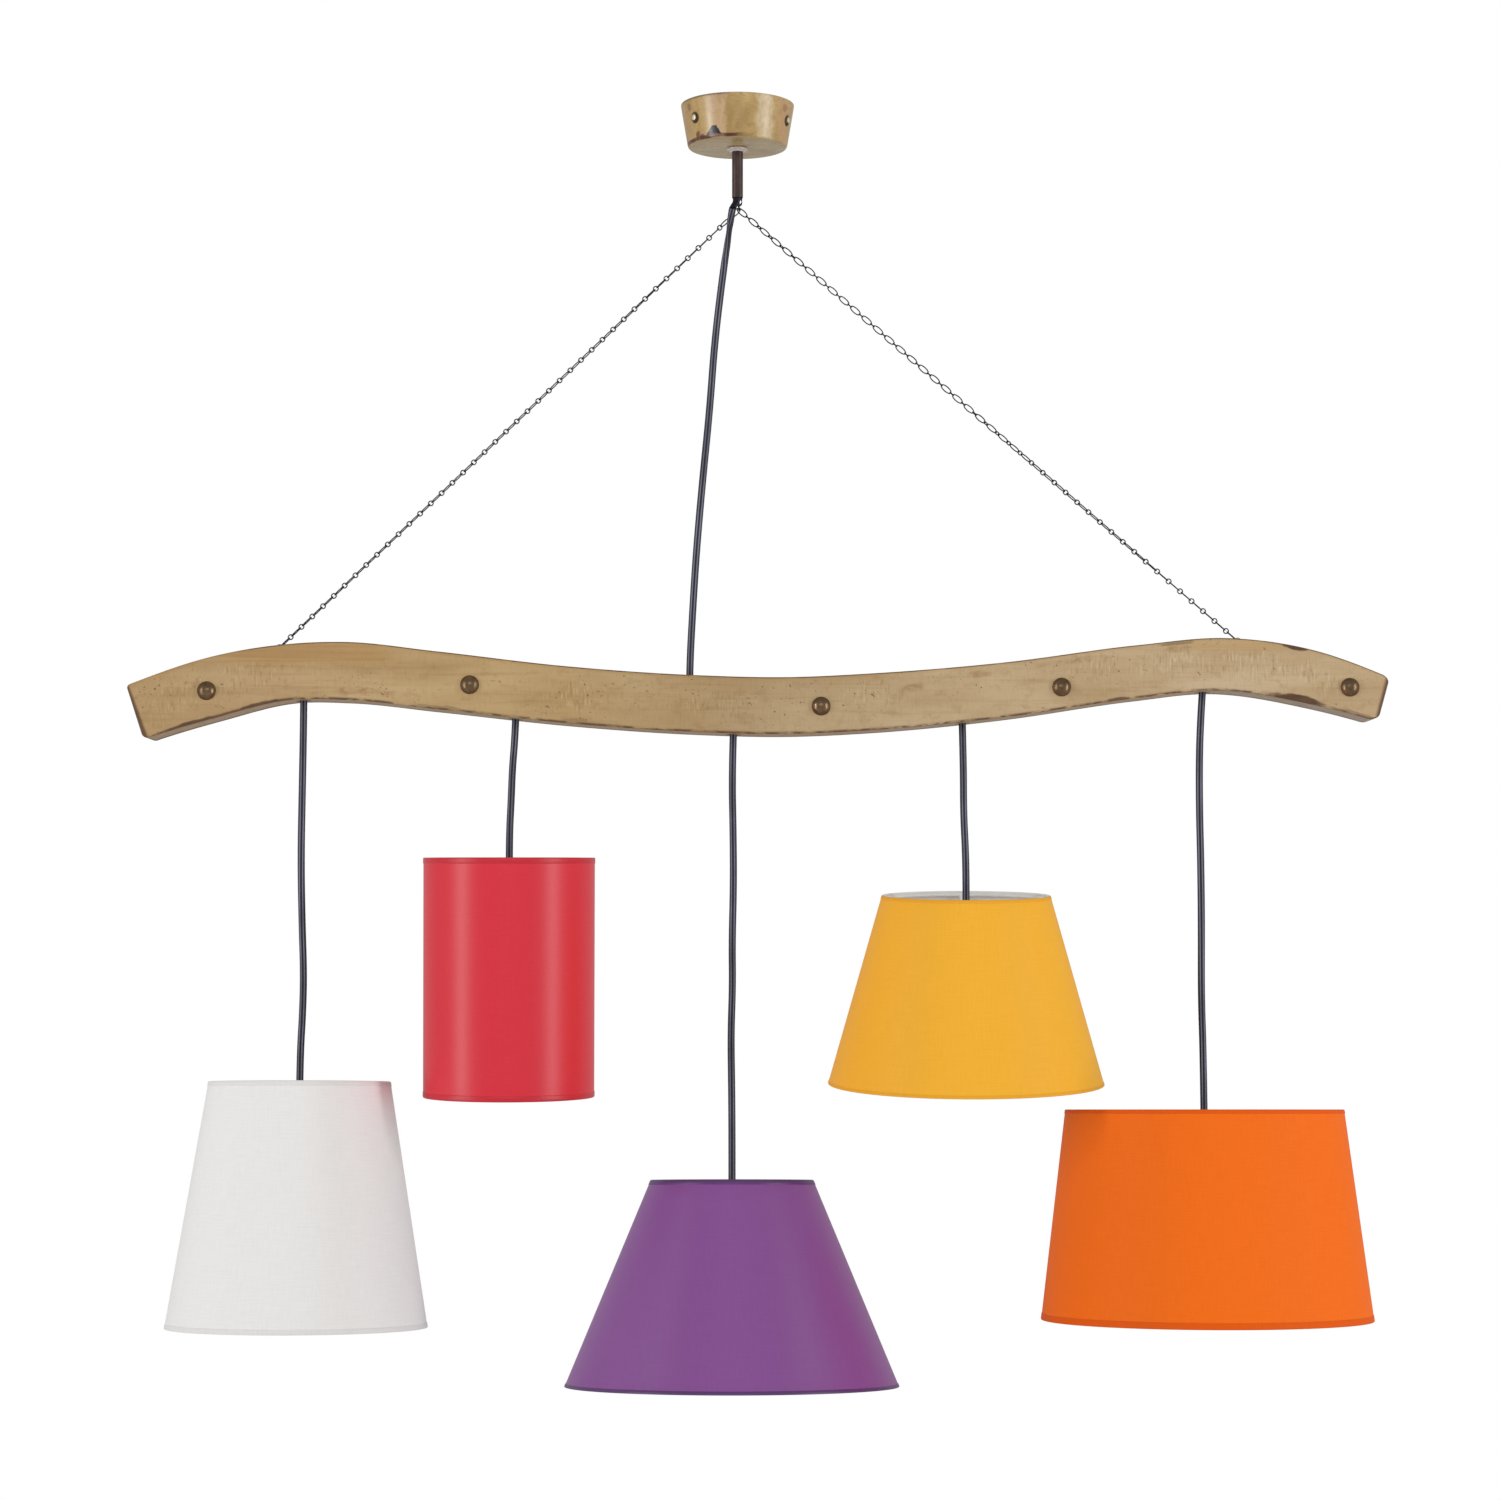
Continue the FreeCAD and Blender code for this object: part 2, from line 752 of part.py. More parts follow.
def beam():
    wood = beam_slab(beam_front, beam_split).cut(channel())
    for pendant in pendants:
        x = pendant_exit(pendant)
        seat = seat_height(pendant)
        pocket = column(knot_pocket_radius, Vector(x, 0, seat), Vector(x, 0, seat + knot_radius * 2))
        widening = (knot_hole_mouth_radius - knot_hole_radius) / channel_floor
        depth = channel_floor * 2
        hole = Part.makeCone(
            knot_hole_radius, knot_hole_radius + widening * depth, depth, Vector(x, 0, seat), down)
        wood = wood.cut(pocket).cut(hole)
    x = beam_block_x
    top = height_at(beam_top_curve, x) + overrun
    low = height_at(beam_bottom_curve, x) + channel_floor + channel_height - overrun
    wood = wood.cut(column(main_hole_radius, Vector(x, 0, low), Vector(x, 0, top)))
    for centre in screw_eye_centres:
        floor = height_at(beam_top_curve, centre.x) - screw_eye_recess_depth
        seat = Vector(centre.x, 0, floor)
        recess = column(screw_eye_recess_radius, seat, seat.add(up * beam_height))
        pilot_end = Vector(centre.x, 0, centre.z - screw_eye_radius - screw_eye_shank_length - joint_gap)
        pilot = column(screw_eye_shank_radius + joint_gap, pilot_end, seat)
        wood = wood.cut(recess).cut(pilot)
    for place in nail_places():
        hole = column(nail_shank_radius + joint_gap, place, place.add(back * (nail_shank_length + joint_gap)))
        wood = wood.cut(hole)
    for place in board_screw_places():
        end = place.sub(back * (board_screw_length + joint_gap))
        wood = wood.cut(column(board_screw_radius + joint_gap, end, place))
    return wood


def beam_back_board():
    board = beam_slab(beam_split, beam_back)
    for place in board_screw_places():
        board = board.cut(column(board_screw_radius + joint_gap, place.sub(back * beam_back), place.add(back)))
        board = board.cut(screw_head(place, joint_gap))
    return board


def screw_head(place, gap):
    # a countersunk head, flush with the board's back
    wide = board_screw_head_radius + gap
    narrow = board_screw_radius + gap
    return Part.makeCone(wide, narrow, board_screw_head_height, place, Vector(0, -1, 0))


def back_board_screws():
    screws = []
    for place in board_screw_places():
        shank = column(board_screw_radius, place.sub(back * board_screw_length), place)
        screws.append(shank.fuse(screw_head(place, 0)).removeSplitter())
    return screws


def dome_nails():
    nails = []
    outward = Vector(0, -1, 0)
    for place in nail_places():
        head = dome(place, outward, nail_head_radius, nail_head_height)
        shank = column(nail_shank_radius, place.sub(outward * nail_shank_length), place)
        nails.append(head.fuse(shank))
    return nails


def beam_terminal_block():
    floor = height_at(beam_bottom_curve, beam_block_x + beam_block_length / 2) + channel_floor
    other = height_at(beam_bottom_curve, beam_block_x - beam_block_length / 2) + channel_floor
    bottom = max(floor, other) + seat_gap
    return block(
        Vector(beam_block_x - beam_block_length / 2, beam_block_front, bottom),
        Vector(beam_block_x + beam_block_length / 2, beam_block_back, bottom + beam_block_height),
    )


def channel_leads(box):
    # one lead from each knot along the channel to the terminal block
    leads = []
    for pendant in pendants:
        x = pendant_exit(pendant)
        lane = lead_lanes[pendant.name]
        side = -1 if x < beam_block_x else 1
        end_x = box.XMin if side < 0 else box.XMax
        end_z = box.ZMax - lead_radius - seat_gap
        reach = end_x - x
        rise = x - side * lead_slant
        knot_centre = Vector(x, 0, knot_height(pendant))
        first = Vector(rise, lane / 2, lead_level(rise))
        outward = unit(first.sub(knot_centre))
        points = [knot_centre.add(outward * (knot_radius + seat_gap)), first]
        steps = round(abs(reach) / beam_height / 2)
        for step in range(1, steps):
            place = x + reach * step / steps
            points.append(Vector(place, lane, lead_level(place)))
        points.append(Vector(end_x + side * lead_end_run, lane, end_z))
        points.append(Vector(end_x, lane, end_z))
        leads.append(round_lead(points, lead_radius))
    return leads


def lead_level(x):
    return height_at(beam_bottom_curve, x) + channel_floor + lead_height


# Pendants

Pendant = namedtuple("Pendant", "name x top top_radius height bottom_radius sway")
pendants = [Pendant(name, along_beam(pendant_shares[name]), *sizes) for name, *sizes in pendant_sizes]


def pendant_places(pendant):
    # heights that the pieces of one pendant share
    spider = pendant.top - spider_drop
    flange_low = spider + spider_plate / 2 + seat_gap
    cap_low = flange_low + holder_flange_height + joint_gap
    return spider, flange_low, cap_low, cap_low + holder_cap_height


def lean_offset(pendant):
    # how far forward the flex ends, so that the leaning shade balances under its knot
    return -balance_drop * math.sin(math.radians(lean_angles[pendant.name]))


def hung(pendant, *solids):
    # a piece of the shade group, leaned about the end of its flex
    pivot = Vector(pendant.x, 0, pendant_places(pendant)[3])
    moved = []
    for solid in solids:
        copy = solid.copy()
        copy.rotate(pivot, Vector(1, 0, 0), lean_angles[pendant.name])
        copy.translate(Vector(0, lean_offset(pendant), 0))
        moved.append(copy)
    return moved


def pendant_flex(pendant):
    top = knot_height(pendant) - knot_radius - flex_knot_gap
    bottom = pendant_places(pendant)[3]
    forward = lean_offset(pendant)
    points = []
    for share, sideways, backward in pendant.sway:
        height = top + share * (bottom - top)
        points.append(Vector(pendant.x + sideways, backward + share * forward, height))
    last_run = points[-2].z - points[-1].z
    points[-2].x = pendant.x
    points[-2].y = forward - last_run * math.tan(math.radians(lean_angles[pendant.name]))
    return points


def knot(pendant):
    centre = Vector(pendant_exit(pendant), 0, knot_height(pendant))
    return Part.makeSphere(knot_radius, centre)


def rounded_flex_top(solid, pendant):
    # the flex ends in a hollow that follows the knot, so that it can swing
    centre = Vector(pendant_exit(pendant), 0, knot_height(pendant))
    return solid.cut(Part.makeSphere(knot_radius + flex_knot_gap, centre))


def holder_cap(pendant):
    _, _, low, high = pendant_places(pendant)
    inner = holder_cap_radius - holder_wall
    neck = holder_cap_neck_radius
    shoulder = low + holder_cap_shoulder
    throat = neck - holder_wall
    return turned([
        (inner, low),
        (holder_cap_radius, low),
        (holder_cap_radius, shoulder),
        (neck + holder_wall, high - holder_wall * 2),
        (neck, high - holder_wall),
        (neck, high),
        (0, high),
        (0, high - holder_wall * 2),
        (throat, high - holder_wall * 2),
        (inner, shoulder - holder_wall),
    ], pendant.x)


def holder_body(pendant):
    spider, flange_low, cap_low, _ = pendant_places(pendant)
    low = spider - holder_skirt_length
    top = cap_low - joint_gap
    return turned([
        (holder_bore_radius, low),
        (holder_radius, low),
        (holder_radius, flange_low),
        (holder_flange_radius, flange_low),
        (holder_flange_radius, top),
        (0, top),
        (0, top - holder_wall),
        (holder_bore_radius, top - holder_wall),
    ], pendant.x)


def contact_insert(pendant):
    _, _, cap_low, _ = pendant_places(pendant)
    high = cap_low - joint_gap - holder_wall - joint_gap
    low = high - insert_height
    return turned([
        (0, high), (insert_radius, high), (insert_radius, low),
        (contact_radius, low), (contact_radius, low - contact_height), (0, low - contact_height),
    ], pendant.x)


def shade_ring(pendant):
    spider = pendant_places(pendant)[0]
    high = spider - spider_plate / 2 - seat_gap
    bore = holder_radius + joint_gap
    chamfer = shade_ring_height / 6
    return turned([
        (bore, high),
        (shade_ring_radius, high),
        (shade_ring_radius, high - shade_ring_height + chamfer),
        (shade_ring_radius - chamfer, high - shade_ring_height),
        (bore, high - shade_ring_height),
    ], pendant.x)


def shade_radius(pendant, drop):
    return pendant.top_radius + (pendant.bottom_radius - pendant.top_radius) * drop / pendant.height


def hoop_radius_at(pendant, drop, wire_radius):
    # a hoop that seats inside the shade's wall at a given drop below the top rim
    slope = (pendant.bottom_radius - pendant.top_radius) / pendant.height
    return shade_radius(pendant, drop) - shade_wall - (wire_radius + soft_gap) * math.sqrt(1 + slope ** 2)


def shade_frame(pendant):
    # the top hoop, three arms and the ring that the lamp holder clamps, and the lower hoop apart
    x, top = pendant.x, pendant.top
    spider = pendant_places(pendant)[0]
    hoop_z = top - hoop_inset - spider_wire_radius
    hoop_radius = hoop_radius_at(pendant, top - hoop_z, spider_wire_radius)
    centre = Vector(x, 0, 0)
    frame = Part.makeTorus(hoop_radius, spider_wire_radius, Vector(x, 0, hoop_z), up)
    plate = turned([
        (holder_radius + joint_gap * 2, spider - spider_plate / 2),
        (spider_ring_outer_radius, spider - spider_plate / 2),
        (spider_ring_outer_radius, spider + spider_plate / 2),
        (holder_radius + joint_gap * 2, spider + spider_plate / 2),
    ], x)
    frame = frame.fuse(plate)
    foot_radius = spider_ring_outer_radius - spider_plate / 2
    for number in range(spider_arms):
        angle = math.radians(spider_first_angle + number * full_turn / spider_arms)
        outward = Vector(math.cos(angle), math.sin(angle), 0)
        high = centre.add(outward * hoop_radius).add(Vector(0, 0, hoop_z))
        foot = centre.add(outward * foot_radius).add(Vector(0, 0, spider))
        frame = frame.fuse(column(spider_wire_radius, foot, high))
    low_z = top - pendant.height + hoop_inset + hoop_wire_radius
    low_radius = hoop_radius_at(pendant, top - low_z, hoop_wire_radius)
    hoop = Part.makeTorus(low_radius, hoop_wire_radius, Vector(x, 0, low_z), up)
    return frame, hoop


def shade(pendant):
    low = pendant.top - pendant.height
    return turned([
        (pendant.top_radius - shade_wall, pendant.top),
        (pendant.top_radius, pendant.top),
        (pendant.bottom_radius, low),
        (pendant.bottom_radius - shade_wall, low),
    ], pendant.x)


def bulb(pendant):
    # screw cap, neck and round globe, one outline turned about the pendant's axis
    insert_low = pendant_places(pendant)[2] - 2 * joint_gap - holder_wall - insert_height
    top = insert_low - contact_height - soft_gap
    cap_low = top - bulb_cap_length
    globe_z = top - bulb_length + bulb_globe_radius
    tip = Vector(0, 0, globe_z - bulb_globe_radius)
    shoulder_angle = math.radians(half_turn / 4)
    shoulder = Vector(
        bulb_globe_radius * math.cos(shoulder_angle), 0,
        globe_z + bulb_globe_radius * math.sin(shoulder_angle),
    )
    corners = [
        tip,
        Vector(0, 0, top),
        Vector(contact_radius, 0, top),
        Vector(bulb_cap_radius, 0, top - contact_radius),
        Vector(bulb_cap_radius, 0, cap_low),
        Vector(bulb_neck_radius, 0, cap_low),
        shoulder,
    ]
    edges = [Part.LineSegment(low, high).toShape() for low, high in zip(corners, corners[1:])]
    edges.append(Part.Arc(shoulder, Vector(bulb_globe_radius, 0, globe_z), tip).toShape())
    solid = Part.Face(Part.Wire(edges)).revolve(Vector(), up, full_turn)
    solid.translate(Vector(pendant.x, 0, 0))
    return solid


# Ceiling group
save("ceiling_bracket", ceiling_bracket())
save("ceiling_rose", ceiling_rose())
save("rose_side_screws", *side_screws())
save("stem_washer", stem_washer())
save("stem_tube", stem_tube())
save("stem_locknut", stem_locknut())
save("rose_terminal_block", rose_terminal_block())
save("stem_lead", flex(stem_lead_route(), Vector(1, 0, 0)))

# Ring, chains and screw eyes
screw_eye_centres = [screw_eye_centre(left_eye_share), screw_eye_centre(right_eye_share)]
ring_drop = math.sqrt(ring_radius ** 2 - chain_offset_y ** 2)
ring_low = ring_centre().add(down * ring_drop)
save("hook_ring", hook_ring())
for node, centre, offset, rolls in (
    ("left_chain", screw_eye_centres[0], -chain_offset_y, left_roll_shares),
    ("right_chain", screw_eye_centres[1], chain_offset_y, right_roll_shares),
):
    start = ring_low.add(back * offset)
    end = centre.sub(unit(centre.sub(start)) * screw_eye_radius)
    save(node, *chain(start, ring_wire_radius + link_seat_gap, end, screw_eye_wire_radius, rolls))
save("chain_screw_eyes", *[screw_eye(centre) for centre in screw_eye_centres])

# Beam and what it holds
save("beam", beam())
save("beam_back_board", beam_back_board())
save("back_board_screws", *back_board_screws())
save("dome_nails", *dome_nails())
terminal_block = beam_terminal_block()
save("beam_terminal_block", terminal_block)
save("channel_leads", *channel_leads(terminal_block.BoundBox))
entry = height_at(beam_top_curve, beam_block_x) + main_flex_entry_above
main_route = main_flex_route + [
    Vector(beam_block_x, 0, entry),
    Vector(beam_block_x, 0, terminal_block.BoundBox.ZMax),
]
save("main_flex", flex(main_route))

# Pendants
for pendant in pendants:
    name = pendant.name
    save(name + "_knot", knot(pendant))
    save(name + "_flex", rounded_flex_top(flex(pendant_flex(pendant), Vector(1, 0, 0)), pendant))
    save(name + "_holder_cap", *hung(pendant, holder_cap(pendant)))
    save(name + "_holder_body", *hung(pendant, holder_body(pendant), contact_insert(pendant)))
    save(name + "_shade_ring", *hung(pendant, shade_ring(pendant)))
    save(name + "_shade_frame", *hung(pendant, *shade_frame(pendant)))
    save(name + "_shade", *hung(pendant, shade(pendant)))
    save(name + "_bulb", *hung(pendant, bulb(pendant)))
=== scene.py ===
import math

import bpy
from mathutils import Matrix, Vector


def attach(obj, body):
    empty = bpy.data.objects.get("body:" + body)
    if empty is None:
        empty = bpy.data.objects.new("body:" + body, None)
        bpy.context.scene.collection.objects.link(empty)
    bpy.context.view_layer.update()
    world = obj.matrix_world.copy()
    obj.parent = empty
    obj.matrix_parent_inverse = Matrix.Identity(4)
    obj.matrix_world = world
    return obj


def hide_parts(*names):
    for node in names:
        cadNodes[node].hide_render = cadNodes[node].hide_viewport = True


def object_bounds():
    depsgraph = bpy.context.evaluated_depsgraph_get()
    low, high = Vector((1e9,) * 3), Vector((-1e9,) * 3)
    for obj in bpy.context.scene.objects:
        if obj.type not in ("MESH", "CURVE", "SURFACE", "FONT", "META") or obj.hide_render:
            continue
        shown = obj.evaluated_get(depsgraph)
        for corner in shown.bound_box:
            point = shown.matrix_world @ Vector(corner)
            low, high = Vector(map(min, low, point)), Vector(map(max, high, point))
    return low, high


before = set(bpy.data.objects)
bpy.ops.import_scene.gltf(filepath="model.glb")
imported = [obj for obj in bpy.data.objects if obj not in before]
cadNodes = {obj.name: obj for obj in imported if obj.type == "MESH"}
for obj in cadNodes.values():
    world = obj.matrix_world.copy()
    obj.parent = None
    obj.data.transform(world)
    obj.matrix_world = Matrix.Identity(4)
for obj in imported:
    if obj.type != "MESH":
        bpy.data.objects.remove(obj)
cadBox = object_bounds()
scene = bpy.context.scene


# small helpers for modelling

def mm(value):
    return value / 1000


def clearSelection():
    bpy.ops.object.select_all(action="DESELECT")


def only(piece):
    clearSelection()
    piece.select_set(True)
    bpy.context.view_layer.objects.active = piece


def named(name):
    piece = bpy.context.active_object
    piece.name = name
    piece.data.name = name
    return piece


def settle(piece):
    # place, turn and size go into the mesh
    only(piece)
    bpy.ops.object.transform_apply(location=True, rotation=True, scale=True)
    return piece


def useModifier(piece, kind, **settings):
    only(piece)
    modifier = piece.modifiers.new(kind.lower(), kind)
    for setting, value in settings.items():
        setattr(modifier, setting, value)
    bpy.ops.object.modifier_apply(modifier=modifier.name)


def editAll():
    bpy.ops.object.mode_set(mode="EDIT")
    bpy.ops.mesh.select_all(action="SELECT")


def doneEditing():
    # faces outwards, and back to object mode
    bpy.ops.mesh.select_all(action="SELECT")
    bpy.ops.mesh.normals_make_consistent(inside=False)
    bpy.ops.object.mode_set(mode="OBJECT")


def smooth(piece, angle):
    only(piece)
    bpy.ops.object.shade_smooth_by_angle(angle=math.radians(angle))


def joined(pieces, name):
    clearSelection()
    for piece in pieces:
        piece.select_set(True)
    bpy.context.view_layer.objects.active = pieces[0]
    bpy.ops.object.join()
    return named(name)


def finishes(piece, *materials):
    piece.data.materials.clear()
    for material in materials:
        piece.data.materials.append(material)


def belongs(piece, node, body):
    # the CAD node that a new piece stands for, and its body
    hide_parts(node)
    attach(piece, body)


def wear(piece, material, body, node):
    finishes(piece, material)
    belongs(piece, node, body)


def turnedPiece(name, profile, place=(0, 0, 0), steps=64, axis=(0, 0, 1)):
    # an outline of (radius, height) in millimetres, spun about the axis through its place
    clearSelection()
    bpy.ops.mesh.primitive_plane_add(size=1)
    piece = named(name)
    points = [(mm(radius), 0, mm(height)) for radius, height in profile]
    piece.data.clear_geometry()
    piece.data.from_pydata(points, [(n, n + 1) for n in range(len(points) - 1)], [])
    editAll()
    bpy.ops.mesh.spin(steps=steps, angle=math.tau, center=(0, 0, 0), axis=(0, 0, 1))
    bpy.ops.mesh.select_all(action="SELECT")
    bpy.ops.mesh.remove_doubles(threshold=mm(0.005))
    doneEditing()
    piece.data.transform(Vector((0, 0, 1)).rotation_difference(Vector(axis)).to_matrix().to_4x4())
    piece.data.transform(Matrix.Translation(Vector(place)))
    return piece


# small helpers for materials

def rgb(red, green, blue):
    # a colour read as 0-255 turned to what the shader expects
    def one(value):
        share = value / 255
        return share / 12.92 if share <= 0.04045 else ((share + 0.055) / 1.055) ** 2.4
    return (one(red), one(green), one(blue), 1)


class Look:
    # a material and the nodes being added to it

    def __init__(self, name, roughness=0.5, metallic=0.0, **sockets):
        self.material = bpy.data.materials.new(name)
        self.material.use_nodes = True
        self.tree = self.material.node_tree
        self.shader = self.tree.nodes["Principled BSDF"]
        self.shader.inputs["Roughness"].default_value = roughness
        self.shader.inputs["Metallic"].default_value = metallic
        for socket, value in sockets.items():
            self.shader.inputs[socket.replace("_", " ")].default_value = value

    def add(self, kind, settings=None, **inputs):
        node = self.tree.nodes.new("ShaderNode" + kind)
        for key, value in (settings or {}).items():
            setattr(node, key, value)
        for key, value in inputs.items():
            self.feed(node.inputs[key.replace("_", " ")], value)
        return node

    def feed(self, socket, value):
        if isinstance(value, bpy.types.NodeSocket):
            self.tree.links.new(value, socket)
        else:
            socket.default_value = value

    def coords(self, scale=(1, 1, 1)):
        return self.scaled(self.add("TexCoord").outputs["Object"], scale)

    def scaled(self, vector, scale):
        return self.add("Mapping", Vector=vector, Scale=scale).outputs["Vector"]

    def centred(self, vector, centre, size):
        # a place measured from a centre, in sizes of the mark
        node = self.add("Mapping", {"vector_type": "TEXTURE"},
                        Vector=vector, Location=centre, Scale=size)
        return self.parts(node.outputs["Vector"])

    def uv(self):
        return self.add("TexCoord").outputs["UV"]

    def parts(self, vector):
        return self.add("SeparateXYZ", Vector=vector).outputs[:3]

    def noise(self, vector, scale=1.0, detail=3.0, roughness=0.5, distortion=0.0):
        node = self.add("TexNoise", Vector=vector, Scale=scale, Detail=detail,
                        Roughness=roughness, Distortion=distortion)
        return node.outputs["Fac"]

    def grain(self, vector, stretch, *settings):
        return self.noise(self.scaled(vector, stretch), 1, *settings)

    def ramp(self, fac, *stops):
        node = self.add("ValToRGB", Fac=fac)
        band = node.color_ramp
        while len(band.elements) < len(stops):
            band.elements.new(0.5)
        for element, (place, colour) in zip(band.elements, stops):
            element.position = place
            element.color = colour if isinstance(colour, tuple) else (colour, colour, colour, 1)
        return node.outputs["Color"]

    def step(self, value, low, high, first=0.0, last=1.0):
        # smooth passage from first to last while the value goes from low to high
        node = self.add("MapRange", {"interpolation_type": "SMOOTHSTEP", "clamp": True},
                        Value=value, From_Min=low, From_Max=high, To_Min=first, To_Max=last)
        return node.outputs["Result"]

    def calc(self, operation, first, second=0.0):
        node = self.add("Math", {"operation": operation})
        self.feed(node.inputs[0], first)
        self.feed(node.inputs[1], second)
        return node.outputs["Value"]

    def times(self, first, *others):
        for other in others:
            first = self.calc("MULTIPLY", first, other)
        return first

    def widest(self, first, *others):
        for other in others:
            first = self.calc("MAXIMUM", first, other)
        return first

    def sway(self, noise, reach):
        # a noise made to wander to both sides of nought
        return self.times(self.calc("SUBTRACT", noise, 0.5), reach)

    def awayFrom(self, place, centre):
        node = self.add("VectorMath", {"operation": "DISTANCE"})
        self.feed(node.inputs[0], place)
        self.feed(node.inputs[1], [mm(c) for c in centre])
        return node.outputs["Value"]

    def mix(self, share, first, second, blend="MIX"):
        node = self.add("Mix", {"data_type": "RGBA", "blend_type": blend})
        self.feed(node.inputs[0], share)
        self.feed(node.inputs[6], first)
        self.feed(node.inputs[7], second)
        return node.outputs[2]

    def paint(self, share, colour, blend="MIX"):
        self.base = self.mix(share, self.base, colour, blend)

    def colour(self, value):
        self.feed(self.shader.inputs["Base Color"], value)

    def bump(self, height, strength, distance):
        node = self.add("Bump", Height=height, Strength=strength, Distance=distance)
        self.feed(self.shader.inputs["Normal"], node.outputs["Normal"])

    def rough(self, value):
        self.feed(self.shader.inputs["Roughness"], value)


# camera, light and floor

camera = {"place": (0.01099, -3.0, -0.75092), "tiltUp": 3.478, "lens": 82.92, "sensor": 36, "seesTo": 100}

bpy.ops.object.camera_add(location=camera["place"], rotation=(math.radians(90 + camera["tiltUp"]), 0, 0))
scene.camera = bpy.context.active_object
scene.camera.data.lens = camera["lens"]
scene.camera.data.sensor_width = camera["sensor"]
scene.camera.data.clip_end = camera["seesTo"]

studio = {
    "backdrop": 1.0, "ambient": 0.50,
    "lights": [  # name, place, aims at, width, height, power
        ("sideLeft", (-4.5, -2.3, -0.75), (0, 0, -0.75), 0.6, 4.8, 112),
        ("sideRight", (4.5, -2.3, -0.75), (0, 0, -0.75), 0.6, 4.8, 116),
        ("frontFill", (0, -3.4, 0.6), (0, 0, -0.7), 2.2, 1.4, 15),
    ],
    "floorDrop": 0.62, "floorRadius": 3.2,
}

scene.view_settings.view_transform = "Standard"
world = scene.world or bpy.data.worlds.new("studio")
scene.world = world
world.use_nodes = True
worldNodes = world.node_tree
background = worldNodes.nodes["Background"]
background.inputs["Color"].default_value = (1, 1, 1, 1)
rays = worldNodes.nodes.new("ShaderNodeLightPath")
strength = worldNodes.nodes.new("ShaderNodeMapRange")
strength.inputs["To Min"].default_value = studio["ambient"]
strength.inputs["To Max"].default_value = studio["backdrop"]
worldNodes.links.new(rays.outputs["Is Camera Ray"], strength.inputs["Value"])
worldNodes.links.new(strength.outputs["Result"], background.inputs["Strength"])
for name, place, aim, width, height, power in studio["lights"]:
    bpy.ops.object.light_add(type="AREA", location=place)
    light = named(name)
    light.rotation_euler = (Vector(aim) - Vector(place)).to_track_quat("-Z", "Y").to_euler()
    light.data.shape = "RECTANGLE"
    light.data.size = width
    light.data.size_y = height
    light.data.energy = power
    light.visible_camera = False

clearSelection()
bpy.ops.mesh.primitive_circle_add(vertices=96, radius=studio["floorRadius"], fill_type="NGON",
                                  location=(0, 0, cadBox[0][2] - studio["floorDrop"]))
floor = named("studio_floor")
floorLook = Look("floorLook", roughness=0.9)
floorLook.colour(floorLook.ramp(floorLook.noise(floorLook.coords(), 0.6), (0.3, 0.86), (0.7, 0.9)))
floor.data.materials.append(floorLook.material)
settle(floor)
print("studio is set")


# flat twin flexes: the main flex and one for each shade

flexes = {
    "width": 6.3, "thickness": 3.8, "lobe": 1.78,
    "routes": {
        "main": [(-0.0045, -0.0064, -0.0943), (-0.0057, -0.0066, -0.1010), (-0.0078, -0.0063, -0.1180),
                 (-0.0126, -0.0054, -0.150), (-0.0199, -0.0034, -0.210), (-0.0242, -0.002, -0.270),
                 (-0.0304, -0.001, -0.332), (-0.0358, 0.0002, -0.394), (-0.0393, 0.0005, -0.452),
                 (-0.0417, 0.0, -0.49876), (-0.0417, 0.0, -0.52967)],
        "white": [(-0.3775, 0.0, -0.52096), (-0.3777, 0.00072, -0.55166), (-0.3785, 0.00186, -0.60623),
                  (-0.3792, 0.00215, -0.66422), (-0.3778, 0.00229, -0.71879), (-0.3761, 0.00309, -0.76313),
                  (-0.3769, 0.00406, -0.79724), (-0.379, 0.00614, -0.83135), (-0.379, 0.00464, -0.86205)],
        "red": [(-0.1928, 0.0, -0.53723), (-0.1936, -0.00012, -0.55952), (-0.1956, -0.0004, -0.58443),
                (-0.1965, -0.00134, -0.61328), (-0.1978, -0.00317, -0.64213), (-0.1978, -0.00249, -0.66835)],
        "purple": [(-0.0034, 0.0, -0.55064), (-0.0047, 0.00106, -0.59026), (-0.0037, 0.00226, -0.63781),
                   (-0.0033, 0.00255, -0.68535), (-0.0046, 0.00281, -0.73686), (-0.0041, 0.00321, -0.77252),
                   (-0.0056, 0.00444, -0.8161), (-0.0049, 0.00557, -0.85968), (-0.0046, 0.00967, -0.90327),
                   (-0.0046, 0.00663, -0.94685)],
        "yellow": [(0.1956, 0.0, -0.54086), (0.1965, -0.00144, -0.58093), (0.1963, -0.00342, -0.62421),
                   (0.198, -0.00955, -0.66589), (0.198, -0.00696, -0.70115)],
        "orange": [(0.4052, 0.0, -0.51361), (0.4031, 0.00063, -0.54342), (0.4018, 0.00135, -0.58067),
                   (0.4018, 0.00154, -0.62537), (0.4025, 0.00146, -0.66263), (0.4028, 0.00188, -0.71851),
                   (0.4022, 0.00298, -0.78184), (0.404, 0.00658, -0.83027), (0.404, 0.00414, -0.88615)],
    },
    "lengths": {"main": 0.4363, "white": 0.3413, "red": 0.1313, "purple": 0.3965, "yellow": 0.1608,
                "orange": 0.3728},
    "twists": {  # share of the length, degrees
        "main": [(0.0, 0), (0.02, 20), (0.045, 62), (0.08, 35), (0.13, 4), (0.5, -8), (0.8, 6), (1.0, 0)],
        "white": [(0.0, 0), (0.3, -10), (0.6, 8), (1.0, 0)],
        "red": [(0.0, 0), (0.5, 12), (1.0, 0)],
        "purple": [(0.0, 0), (0.25, 9), (0.6, -10), (1.0, 0)],
        "yellow": [(0.0, 0), (0.5, -8), (1.0, 0)],
        "orange": [(0.0, 0), (0.4, 10), (0.75, -8), (1.0, 0)],
    },
}


